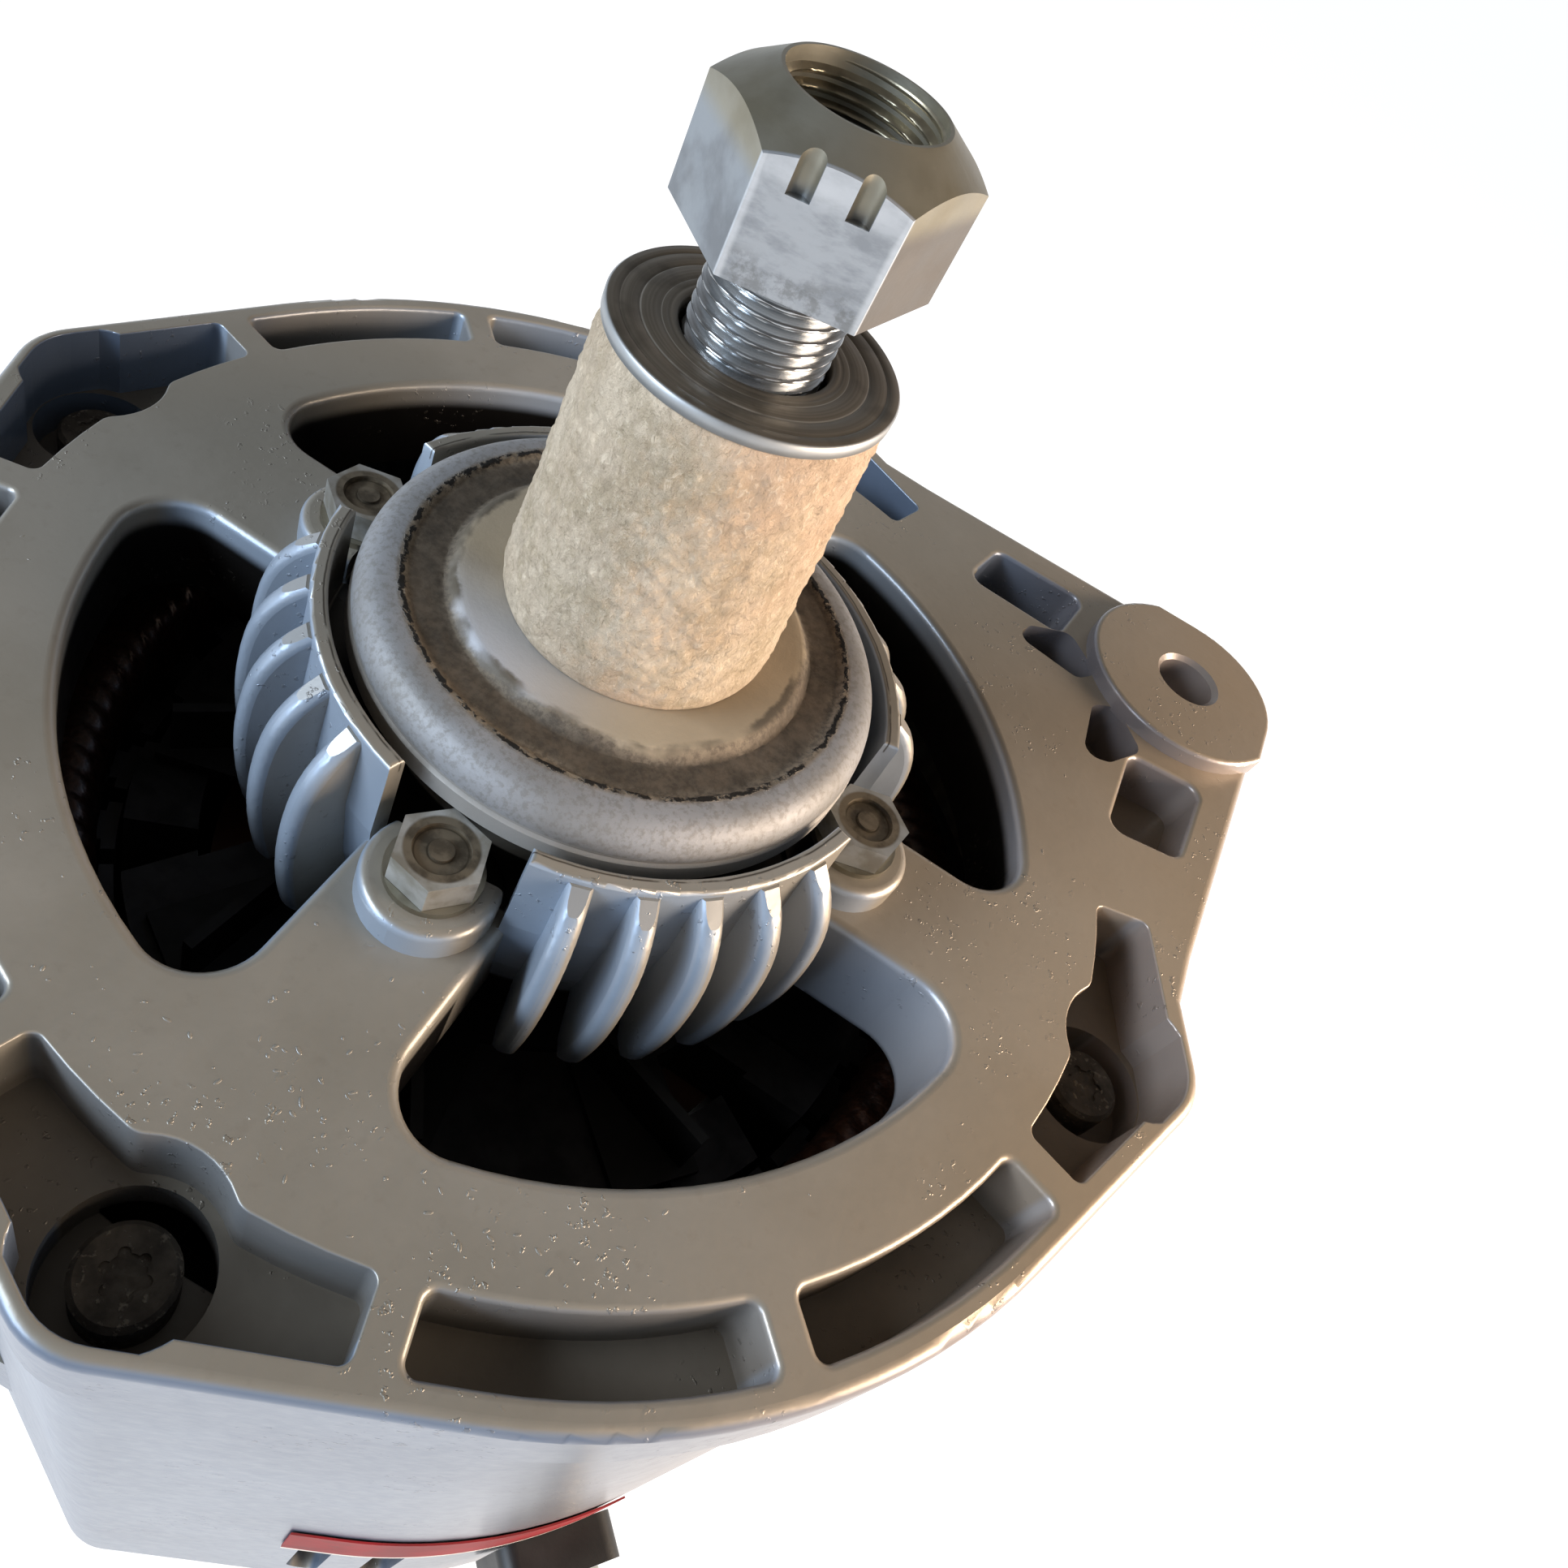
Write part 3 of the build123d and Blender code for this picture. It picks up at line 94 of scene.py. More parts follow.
class Paint:
    """A material under construction. Most methods add nodes and return a socket."""

    def __init__(self, name, metallic=0.0, coat=0.0):
        self.material = bpy.data.materials.new(name)
        self.material.use_nodes = True
        self.tree = self.material.node_tree
        self.tree.nodes.clear()
        self.out = self.tree.nodes.new("ShaderNodeOutputMaterial")
        self.shader = self.tree.nodes.new("ShaderNodeBsdfPrincipled")
        self.tree.links.new(self.shader.outputs[0], self.out.inputs[0])
        self.shader.inputs["Metallic"].default_value = metallic
        self.shader.inputs["Coat Weight"].default_value = coat
        self.shader.inputs["Coat Roughness"].default_value = 0.25
        self.place = self.tree.nodes.new("ShaderNodeTexCoord").outputs["Object"]
        split = self.tree.nodes.new("ShaderNodeSeparateXYZ")
        self.tree.links.new(self.place, split.inputs[0])
        self.x, self.y, self.z = split.outputs
        self.normal = None

    def put(self, socket, value):
        if isinstance(value, bpy.types.NodeSocket):
            self.tree.links.new(value, socket)
        else:
            socket.default_value = value

    def math(self, operation, a, b=0.0):
        node = self.tree.nodes.new("ShaderNodeMath")
        node.operation = operation
        self.put(node.inputs[0], a)
        self.put(node.inputs[1], b)
        return node.outputs[0]

    def facing(self, x, y, z):
        """How far the surface faces along a direction, from -1 to 1."""
        normal = self.tree.nodes.new("ShaderNodeNewGeometry").outputs["Normal"]
        node = self.tree.nodes.new("ShaderNodeVectorMath")
        node.operation = "DOT_PRODUCT"
        self.put(node.inputs[0], normal)
        node.inputs[1].default_value = (x, y, z)
        return node.outputs["Value"]

    def both(self, *shares):
        """Product of several shares."""
        product = shares[0]
        for share in shares[1:]:
            product = self.math("MULTIPLY", product, share)
        return product

    def radius(self):
        """Distance from the shaft's axis."""
        return self.math("SQRT", self.math("ADD", self.both(self.x, self.x), self.both(self.y, self.y)))

    def step(self, value, low, high):
        """0 below low, 1 above high, smooth between. Falls instead when low is above high."""
        node = self.tree.nodes.new("ShaderNodeMapRange")
        node.interpolation_type = "SMOOTHSTEP"
        self.put(node.inputs["Value"], value)
        if low < high:
            low_out, high_out = 0.0, 1.0
        else:
            low, high, low_out, high_out = high, low, 1.0, 0.0
        ends = {"From Min": low, "From Max": high, "To Min": low_out, "To Max": high_out}
        for key, number in ends.items():
            node.inputs[key].default_value = number
        return node.outputs[0]

    def band(self, value, low, high, soft):
        """1 between low and high, 0 outside, with soft ends."""
        rise = self.step(value, low - soft, low + soft)
        return self.both(rise, self.step(value, high + soft, high - soft))

    def noise(self, scale, detail=4.0, rough=0.55, place=None, distortion=0.0):
        node = self.tree.nodes.new("ShaderNodeTexNoise")
        self.put(node.inputs["Vector"], place or self.place)
        settings = {"Scale": scale, "Detail": detail, "Roughness": rough, "Distortion": distortion}
        for key, number in settings.items():
            node.inputs[key].default_value = number
        return node.outputs[0]

    def stretched(self, x, y, z):
        """Coordinates with their own scale along each axis."""
        node = self.tree.nodes.new("ShaderNodeMapping")
        self.put(node.inputs["Vector"], self.place)
        node.inputs["Scale"].default_value = (x, y, z)
        return node.outputs[0]

    def polar_place(self, rings):
        """Coordinates that vary quickly with radius and slowly round the axis."""
        join = self.tree.nodes.new("ShaderNodeCombineXYZ")
        self.put(join.inputs[0], self.both(self.radius(), rings))
        self.put(join.inputs[1], self.both(self.x, 6.0))
        self.put(join.inputs[2], self.both(self.y, 6.0))
        return join.outputs[0]

    def mix(self, share, a, b):
        """Colour a where share is 0, colour b where it is 1."""
        node = self.tree.nodes.new("ShaderNodeMix")
        node.data_type = "RGBA"
        self.put(node.inputs[0], share)
        self.put(node.inputs[6], linear(a) if isinstance(a, str) else a)
        self.put(node.inputs[7], linear(b) if isinstance(b, str) else b)
        return node.outputs[2]

    def blend(self, share, low, high):
        """A number that runs from low to high as share runs from 0 to 1."""
        node = self.tree.nodes.new("ShaderNodeMapRange")
        self.put(node.inputs["Value"], share)
        self.put(node.inputs["To Min"], low)
        self.put(node.inputs["To Max"], high)
        return node.outputs[0]

    def bump(self, height, distance, strength):
        """Adds fine relief on top of any relief added before."""
        node = self.tree.nodes.new("ShaderNodeBump")
        node.inputs["Strength"].default_value = strength
        node.inputs["Distance"].default_value = distance
        self.put(node.inputs["Height"], height)
        if self.normal is not None:
            self.put(node.inputs["Normal"], self.normal)
        self.normal = node.outputs[0]

    def done(self, colour, roughness):
        self.put(self.shader.inputs["Base Color"], colour)
        self.put(self.shader.inputs["Roughness"], roughness)
        if self.normal is not None:
            self.put(self.shader.inputs["Normal"], self.normal)
        return self.material


def casting_paint():
    p = Paint("casting_paint", metallic=0.30, coat=0.35)
    r = p.radius()
    blotch, fine = p.noise(28, 5), p.noise(420, 4)
    colour = p.mix(p.step(blotch, 0.35, 0.68), "8a857b", "98938a")
    colour = p.mix(p.both(p.step(fine, 0.55, 0.8), 0.25), colour, "756e64")
    upright = p.step(p.facing(0.0, 0.0, 1.0), 0.93, 0.55)
    # Painted light: side walls that face the key light are painted a lighter blue-grey, brighter towards
    # the top and greyer inside the pockets.
    toward_light = p.step(p.facing(-0.55, -0.83, 0.0), -0.15, 0.35)
    lit_wall_tint = p.mix(p.step(p.z, FACE - 0.0340, FACE - 0.0180), "8796ac", "94a3b6")
    pocket = p.both(p.step(r, 0.0690, 0.0700), p.step(r, 0.0855, 0.0845))
    lit_wall_tint = p.mix(p.both(pocket, 0.75), lit_wall_tint, "7f7c78")
    colour = p.mix(p.both(upright, toward_light, 0.85), colour, lit_wall_tint)
    # Painted light: the outer side walls all round are painted a darker blue-grey, standing in for the
    # cool light and shade on them.
    outer_wall_light_tint = p.both(upright, p.step(r, 0.0860, 0.0872))
    colour = p.mix(outer_wall_light_tint, colour, p.mix(p.step(p.noise(30, 5), 0.35, 0.68), "5c697d", "687588"))
    # Painted light: the right side of the casting is painted warm brown, standing in for warm reflected
    # light from that side.
    warm_light_side = p.both(p.step(p.x, 0.030, 0.090), p.blend(p.noise(22, 3), 0.55, 1.0), 0.60)
    colour = p.mix(warm_light_side, colour, "b3946d")
    pocket_depth = p.step(p.z, FACE - 0.006, FACE - 0.0100)
    pocket_floor = p.step(p.z, FACE - 0.0185, FACE - 0.0175)
    inward = p.math("MAXIMUM", p.step(r, 0.0868, 0.0860), p.step(p.facing(0.0, 0.0, 1.0), 0.5, 0.8))
    dust = p.blend(p.noise(90, 4), 0.35, 0.85)
    dusty = p.both(pocket_depth, p.step(r, 0.0775, 0.0795), pocket_floor, dust, inward)
    colour = p.mix(dusty, colour, "564e44")
    # Painted shade: a thin, broken dark line near the rim's inner edge stands in for the shade in a thin
    # groove there.
    wander = p.blend(p.noise(180, 3), -0.00022, 0.00022)
    groove = p.band(p.math("ADD", r, wander), 0.0379, 0.0381, 0.00012)
    groove = p.both(groove, p.step(p.z, FACE + 0.0126, FACE + 0.0131), p.step(p.noise(150, 4), 0.36, 0.48))
    colour = p.mix(groove, colour, "2f2820")
    # Painted shade: the gap between the slinger and the hub rim is painted near black.
    gap_shade = p.both(p.band(r, 0.030, 0.0372, 0.0002), p.step(p.z, FACE + 0.009, FACE + 0.003))
    colour = p.mix(gap_shade, colour, "14110e")
    # Painted shade: the frame's inside below the windows is painted near black, except the hub fins that
    # stand clear of it.
    inside = p.both(p.step(r, 0.0826, 0.0822), p.step(p.z, FACE - 0.0150, FACE - 0.0165))
    fin_height = p.step(p.z, FACE - 0.0215, FACE - 0.0205)
    free_fins = p.both(p.band(r, 0.0368, 0.0475, 0.0003), fin_height)
    inside = p.both(inside, p.math("SUBTRACT", 1.0, free_fins))
    colour = p.mix(inside, colour, "0b0a0a")
    # Painted shade: the walls down inside the windows are painted near black, except one lit corner beside
    # a spoke.
    wall = p.both(p.band(r, 0.0480, 0.0677, 0.0004), p.step(p.z, FACE - 0.0026, FACE - 0.0050))
    beside_spoke = p.both(p.step(p.x, 0.036, 0.040), p.step(p.y, -0.0075, -0.0085))
    lit_corner = p.both(beside_spoke, p.step(p.y, -0.040, -0.036))
    wall = p.both(wall, p.math("SUBTRACT", 1.0, lit_corner))
    colour = p.mix(wall, colour, "131110")
    grit = p.both(p.step(p.noise(950, 2), 0.63, 0.70), p.step(p.noise(48, 3), 0.50, 0.60))
    colour = p.mix(p.both(grit, 0.30), colour, "5a544b")
    p.bump(p.noise(700, 3), 0.00006, 0.5)
    p.bump(grit, 0.00016, 0.7)
    p.bump(p.noise(110, 3), 0.00022, 0.5)
    dull = p.math("MAXIMUM", dusty, p.both(fine, 0.45))
    return p.done(colour, p.blend(dull, 0.28, 0.62))


def cover_paint():
    p = Paint("cover_paint", metallic=0.4, coat=0.2)
    colour = p.mix(p.step(p.noise(35, 5), 0.35, 0.7), "8f8c86", "a5a29c")
    colour = p.mix(p.both(p.step(p.noise(240, 3), 0.6, 0.75), 0.35), colour, "6c675f")
    p.bump(p.noise(650, 3), 0.00006, 0.5)
    return p.done(colour, p.blend(p.noise(60), 0.32, 0.55))


def steel(name, light, dark, metallic=0.95, low=0.22, high=0.5):
    """Plain metal with roughness between low and high."""
    p = Paint(name, metallic=metallic)
    scale = 180
    colour = p.mix(p.step(p.noise(scale, 5), 0.35, 0.72), light, dark)
    p.bump(p.noise(scale * 6, 3), 0.00003, 0.6)
    return p.done(colour, p.blend(p.noise(scale * 1.7, 4), low, high))


def turned(name, light, dark, rings, metallic=0.85, low=0.28, high=0.55):
    """Turned metal: fine rings round the shaft axis."""
    p = Paint(name, metallic=metallic)
    lathe_marks = p.noise(1.0, 3, 0.7, p.polar_place(rings))
    colour = p.mix(p.step(lathe_marks, 0.3, 0.7), dark, light)
    colour = p.mix(p.both(p.step(p.noise(70, 4), 0.5, 0.75), 0.5), colour, dark)
    p.bump(lathe_marks, 0.00004, 0.7)
    return p.done(colour, p.blend(p.noise(150, 4), low, high))


def nut_zinc():
    p = Paint("nut_zinc", metallic=0.75)
    flat_x, flat_y = math.cos(math.radians(NUT_FLAT)), math.sin(math.radians(NUT_FLAT))
    depth = p.math("ADD", p.both(p.x, flat_x), p.both(p.y, flat_y))
    along = p.math("SUBTRACT", p.both(p.y, flat_x), p.both(p.x, flat_y))
    front = p.step(depth, 0.01165, 0.01188)
    top = p.step(p.z, NUT_HIGH - 0.0068, NUT_HIGH - 0.0042)
    dome = p.both(top, p.math("SUBTRACT", 1.0, front))
    worn = p.step(p.noise(140, 5), 0.42, 0.68)
    colour = p.mix(worn, "90969c", "777b80")
    # Painted light: the nut's right side is painted a darker warm brown, standing in for dim warm light on
    # that side.
    colour = p.mix(p.both(p.step(p.x, 0.000, 0.009), 0.85), colour, "5f564b")
    olive = p.mix(p.step(p.noise(70, 4), 0.35, 0.68), "959080", "817a66")
    colour = p.mix(p.both(dome, p.blend(p.noise(60, 4), 0.65, 1.0)), colour, olive)
    # Painted light: the front flat, which faces the key light, is painted brighter, with fine streaks.
    streaks = p.noise(1.0, 4, 0.65, p.stretched(210, 210, 520))
    bright = p.mix(p.step(streaks, 0.36, 0.66), "a4a9af", "8b9096")
    colour = p.mix(front, colour, bright)
    foot = p.step(p.z, NUT_LOW + 0.0045, NUT_LOW + 0.0015)
    smudge = p.both(foot, p.step(p.noise(420, 5, 0.7), 0.45, 0.60), front, 0.6)
    colour = p.mix(smudge, colour, "6c6e6e")
    # Painted highlight: whitish lines along the front flat's side edges and its top.
    edges = p.math("MAXIMUM", p.step(p.math("ABSOLUTE", along), 0.0061, 0.0067), p.both(top, 0.7))
    edges = p.both(edges, front, p.blend(p.noise(320, 3), 0.3, 1.0), 0.75)
    colour = p.mix(edges, colour, "dfe3e8")
    p.bump(p.noise(600, 4), 0.00006, 0.6)
    p.bump(p.noise(1.0, 3, 0.6, p.stretched(160, 160, 900)), 0.00005, 0.5)
    return p.done(colour, p.blend(p.noise(210, 4), 0.30, 0.52))


def hub_bolt_zinc():
    """Hub bolts' zinc, with a dirty dish in each head."""
    p = Paint("hub_bolt_zinc", metallic=0.75, coat=0.1)
    past_x = p.math("SUBTRACT", p.math("ABSOLUTE", p.x), HUB_BOLT_CIRCLE)
    past_y = p.math("SUBTRACT", p.math("ABSOLUTE", p.y), HUB_BOLT_CIRCLE)
    near_x = p.math("SQRT", p.math("ADD", p.both(past_x, past_x), p.both(p.y, p.y)))
    near_y = p.math("SQRT", p.math("ADD", p.both(past_y, past_y), p.both(p.x, p.x)))
    r = p.math("MINIMUM", near_x, near_y)
    colour = p.mix(p.step(p.noise(260, 4), 0.38, 0.68), "c3c4c2", "a09c92")
    head = p.step(p.z, HUB_BOLT_TOP - 0.0022, HUB_BOLT_TOP - 0.0016)
    dish = p.both(p.step(r, 0.0046, 0.0042), head)
    dirt = p.mix(p.step(p.noise(420, 4), 0.40, 0.66), "7d7363", "574f43")
    colour = p.mix(dish, colour, dirt)
    rings = p.math("MAXIMUM", p.band(r, 0.0030, 0.0032, 0.0001), p.band(r, 0.0015, 0.0017, 0.0001))
    colour = p.mix(p.both(rings, dish, 0.7), colour, "3b352c")
    p.bump(p.noise(900, 3), 0.00005, 0.6)
    return p.done(colour, p.blend(p.math("MAXIMUM", dish, p.noise(200, 3)), 0.20, 0.55))


def dusty_bolt():
    p = Paint("dusty_bolt", metallic=0.35)
    colour = p.mix(p.step(p.noise(300, 5), 0.35, 0.68), "5f584e", "3f3932")
    crumbs = p.step(p.noise(900, 3), 0.58, 0.68)
    colour = p.mix(p.both(crumbs, 0.7), colour, "8c8476")
    p.bump(p.noise(500, 4), 0.0003, 0.7)
    p.bump(crumbs, 0.0002, 0.6)
    return p.done(colour, p.blend(p.noise(260), 0.5, 0.85))


def slinger_finish():
    p = Paint("slinger_finish", metallic=0.30)
    r = p.radius()
    wavy_r = p.math("ADD", r, p.blend(p.noise(60, 6, 0.65), -0.0026, 0.0026))
    fine = p.noise(1100, 5, 0.7)
    colour = p.mix(p.step(p.noise(50, 4), 0.35, 0.7), "8e8f92", "7c7b7a")
    colour = p.mix(p.both(p.step(fine, 0.46, 0.62), 0.45), colour, "67625b")
    flat = p.step(r, 0.0304, 0.0296)
    colour = p.mix(flat, colour, p.mix(p.step(fine, 0.40, 0.62), "7d7263", "5c5348"))
    dusty = p.both(p.band(wavy_r, 0.0240, 0.0284, 0.0010), p.blend(p.noise(95, 5), 0.55, 1.0))
    colour = p.mix(dusty, colour, p.mix(p.step(p.noise(300, 5), 0.38, 0.64), "493f34", "2f2820"))
    plateau = p.step(wavy_r, 0.0237, 0.0227)
    beige = p.mix(p.step(p.noise(42, 4), 0.35, 0.7), "a89b86", "8f836f")
    # Painted light: the plateau's front-left part, towards the key light, is painted a lighter, cooler
    # grey.
    cool_lit_side = p.both(p.step(p.y, -0.006, -0.022), p.step(p.x, 0.012, -0.012))
    beige = p.mix(cool_lit_side, beige, "b3b5bb")
    colour = p.mix(plateau, colour, beige)
    stain = p.both(p.band(wavy_r, 0.0224, 0.0236, 0.0004), p.step(p.noise(75, 3), 0.42, 0.55))
    colour = p.mix(stain, colour, "5d5549")
    ragged_r = p.math("ADD", r, p.blend(p.noise(700, 4, 0.7), -0.0009, 0.0009))
    broken = p.step(p.noise(420, 4, 0.65), 0.44, 0.50)
    crumbs = p.both(p.band(ragged_r, 0.0291, 0.0298, 0.00012), broken)
    crumbs = p.both(crumbs, p.step(p.z, FACE + 0.0172, FACE + 0.0176))
    colour = p.mix(crumbs, colour, "100d0a")
    low_disc = p.step(p.z, FACE + 0.0137, FACE + 0.0134)
    colour = p.mix(low_disc, colour, "918e8a")
    p.bump(fine, 0.00009, 0.7)
    p.bump(crumbs, 0.00025, 0.8)
    p.bump(p.noise(1.0, 2, 0.6, p.polar_place(2600.0)), 0.00003, 0.4)
    return p.done(colour, p.blend(p.math("MAXIMUM", flat, fine), 0.42, 0.72))


def washer_steel():
    p = Paint("washer_steel", metallic=0.7)
    r = p.radius()
    lathe_marks = p.noise(1.0, 3, 0.7, p.polar_place(2400.0))
    colour = p.mix(p.step(lathe_marks, 0.35, 0.7), "655d51", "756c60")
    outer_ring, inner_ring = p.band(r, 0.01262, 0.01278, 0.00006), p.band(r, 0.01040, 0.01050, 0.00005)
    ring = p.math("MAXIMUM", outer_ring, inner_ring)
    colour = p.mix(p.both(ring, 0.8), colour, "a09a90")
    colour = p.mix(p.both(p.step(p.noise(120, 4), 0.50, 0.66), 0.6), colour, "4b443a")
    edge = p.step(r, 0.01615, 0.01635)
    colour = p.mix(edge, colour, p.mix(p.noise(200), "8d8f90", "aeb1b3"))
    p.bump(lathe_marks, 0.00003, 0.6)
    return p.done(colour, p.blend(p.noise(160, 4), 0.32, 0.58))


def kraft():
    p = Paint("kraft_board")
    blotch, grime = p.noise(60, 6, 0.65), p.noise(150, 6, 0.72)
    colour = p.mix(p.step(blotch, 0.34, 0.66), "d0bfa8", "c0ad95")
    colour = p.mix(p.both(p.step(grime, 0.47, 0.62), 0.50), colour, "a59478")
    # Painted shade: the sleeve's right side is painted pinkish and a little darker, where it turns from
    # the key light.
    rosy_shade = p.both(p.step(p.x, -0.010, 0.010), p.step(p.noise(34, 4), 0.38, 0.60))
    colour = p.mix(p.both(rosy_shade, 0.55), colour, "c9a88e")
    fibre = p.noise(1.0, 6, 0.75, p.stretched(1100, 1100, 700), 0.9)
    colour = p.mix(p.both(p.step(fibre, 0.52, 0.68), 0.50), colour, "eee0c9")
    colour = p.mix(p.both(p.step(fibre, 0.46, 0.34), 0.45), colour, "8c7b63")
    p.bump(p.noise(330, 6, 0.75, None, 0.8), 0.0010, 0.9)
    p.bump(fibre, 0.0006, 0.9)
    p.bump(p.noise(1700, 4, 0.7), 0.0002, 0.8)
    return p.done(colour, p.blend(blotch, 0.82, 0.97))


def plastic(name, light, dark, low=0.35, high=0.6):
    p = Paint(name)
    colour = p.mix(p.step(p.noise(60, 4), 0.35, 0.7), light, dark)
    p.bump(p.noise(1600, 2), 0.00004, 0.5)
    return p.done(colour, p.blend(p.noise(120), low, high))


def copper_wire():
    p = Paint("copper_wire", metallic=0.6, coat=0.3)
    strand = p.noise(1.0, 2, 0.5, p.stretched(1400, 1400, 300))
    # Near-black varnished copper: partly the varnish's own colour and partly painted shade, kept this dark
    # so the windings stay as dark as the shade inside the windows.
    colour = p.mix(p.step(strand, 0.3, 0.7), "24120a", "3a2013")
    colour = p.mix(p.both(p.step(p.noise(90, 4), 0.5, 0.7), 0.7), colour, "120b08")
    p.bump(strand, 0.0002, 0.8)
    return p.done(colour, p.blend(p.noise(300), 0.3, 0.55))


def laminations():
    p = Paint("laminations", metallic=0.6)
    layer = p.noise(1.0, 1, 0.5, p.stretched(20, 20, 2200))
    colour = p.mix(p.step(layer, 0.35, 0.65), "2b2b2d", "4a4a4c")
    p.bump(layer, 0.0001, 0.8)
    return p.done(colour, p.blend(layer, 0.4, 0.65))


def label_film():
    p = Paint("label_film")
    red_field = p.step(p.z, 0.0840, 0.0842)
    colour = p.mix(p.step(p.noise(80, 4), 0.35, 0.7), "8c0a14", "73080f")
    colour = p.mix(red_field, p.mix(p.noise(60), "cfcac2", "e2ded7"), colour)
    colour = p.mix(p.both(p.step(p.noise(160, 4), 0.58, 0.72), 0.30), colour, "5a2a28")
    p.bump(p.noise(260, 3), 0.00005, 0.5)
    return p.done(colour, p.blend(p.noise(90), 0.55, 0.75))


def floor_card():
    p = Paint("floor_card")
    colour = p.mix(p.noise(3, 2), "828282", "888888")
    p.shader.inputs["Emission Color"].default_value = (0.97, 0.985, 1.0, 1.0)
    p.shader.inputs["Emission Strength"].default_value = 0.93
    return p.done(colour, p.blend(p.noise(5), 0.85, 0.95))


# ---- mesh helpers ----------------------------------------------------------------
def piece(name, points, faces, material, body=None, replaces=()):
    """A smooth mesh object, riding on a body where one is named."""
    mesh = bpy.data.meshes.new(name)
    mesh.from_pydata(points, [], faces)
    mesh.validate()
    mesh.polygons.foreach_set("use_smooth", [True] * len(mesh.polygons))
    mesh.materials.append(material)
    made = bpy.data.objects.new(name, mesh)
    bpy.context.scene.collection.objects.link(made)
    if body:
        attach(made, body)
    if replaces:
        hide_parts(*replaces)
    return made


def turned_mesh(profile, steps, place=None, closed=True):
    """Points and faces of a profile of (radius, height) pairs turned round Z.

    place moves each point. A closed profile joins its last pair to its first.
    """
    count = len(profile)
    points = []
    for i in range(steps):
        a = 2 * math.pi * i / steps
        for j, (r, z) in enumerate(profile):
            if place:
                r, z = place(r, z, a, j)
            points.append((r * math.cos(a), r * math.sin(a), z))
    faces = []
    last = count if closed else count - 1
    for i in range(steps):
        k = (i + 1) % steps
        for j in range(last):
            m = (j + 1) % count
            faces.append((i * count + j, k * count + j, k * count + m, i * count + m))
    return points, faces


def round_profile(corners, reach):
    """Rounds the inner corners of an open (radius, height) outline, and leaves straight runs straight."""
    cuts = 3
    made = [corners[0]]
    for i in range(1, len(corners) - 1):
        before, here, after = Vector(corners[i - 1]), Vector(corners[i]), Vector(corners[i + 1])
        back = min(reach, (before - here).length * 0.4)
        ahead = min(reach, (after - here).length * 0.4)
        a = here + (before - here).normalized() * back
        b = here + (after - here).normalized() * ahead
        for k in range(cuts + 1):
            t = k / cuts
            made.append(tuple((1 - t) ** 2 * a + 2 * t * (1 - t) * here + t * t * b))
    made.append(corners[-1])
    return made


def sharpen(made, degrees):
    """Keeps edges steeper than this many degrees crisp."""
    made.data.set_sharp_from_angle(angle=math.radians(degrees))


def strip(faces, low, high, around):
    """Adds the band of faces between two rings of points, given by their first points."""
    for k in range(around):
        m = (k + 1) % around
        faces.append((low + k, low + m, high + m, high + k))


def rough(x, y, z, scale):
    """Smooth random height at a point, from about -1 to 1."""
    return noise.noise(Vector((x * scale, y * scale, z * scale)))


# ---- pieces that stand for CAD nodes -----------------------------------------------
def thread_radius(z, angle, low, high, crest, root):
    """Rounded V thread that fades in and out at its ends."""
    turn = ((z - low) / PITCH - angle / (2 * math.pi)) % 1.0
    ridge = 1.0 - abs(2 * turn - 1.0)
    ridge = min(1.0, max(0.0, (ridge - 0.08) / 0.80))
    fade = min(1.0, max(0.0, (z - low) / PITCH), max(0.0, (high - z) / PITCH))
    return root + (crest - root) * ridge * fade


def build_shaft(material):
    """The whole shaft, with real turns on its threaded end and a centre hole in its top."""
    lower = [
        (0.0, 0.006), (0.0065, 0.006), (0.0065, 0.039), (0.0085, 0.039), (0.0085, 0.0542), (0.0125, 0.056),
        (0.0125, FACE - 0.002), (0.011, FACE - 0.002), (0.011, SEAT_END), (0.0079, SEAT_END),
    ]
    profile = round_profile(lower, 0.0005)
    thread_start = len(profile)
    low, high = SEAT_END, THREAD_TOP
    rows = ROWS_PER_TURN * int((high - low) / PITCH)
    profile += [(THREAD_CREST, low + (high - low) * j / rows) for j in range(1, rows)]
    thread_end = len(profile)
    profile += [(0.0070, high), (0.0066, SHAFT_END), (0.0022, SHAFT_END)]
    profile += [(0.0014, SHAFT_END - 0.0018), (0.0, SHAFT_END - 0.0022)]

    def place(r, z, a, j):
        if thread_start <= j < thread_end:
            return thread_radius(z, a, low, high, THREAD_CREST, THREAD_ROOT), z
        return r, z

    points, faces = turned_mesh(profile, 96, place, closed=False)
    made = piece("shaft_with_thread", points, faces, material, "rotor", ["rotor_shaft"])
    sharpen(made, 40)


def build_nut_thread(material):
    """The turns seen inside the nut above the shaft's end."""
    low, high = SHAFT_END + 0.0004, NUT_HIGH - 0.0004
    rows = ROWS_PER_TURN * int((high - low) / PITCH)
    inner = [(0.0080, low + (high - low) * j / rows) for j in range(rows + 1)]
    profile = inner + [(0.00828, high), (0.00828, low)]

    def place(r, z, a, j):
        if j < len(inner):
            return thread_radius(z, a, low, high, 0.0074, 0.00822), z
        return r, z

    points, faces = turned_mesh(profile, 96, place)
    faces = [tuple(reversed(f)) for f in faces]
    made = piece("nut_thread", points, faces, material, "shaft_nut")
    sharpen(made, 40)


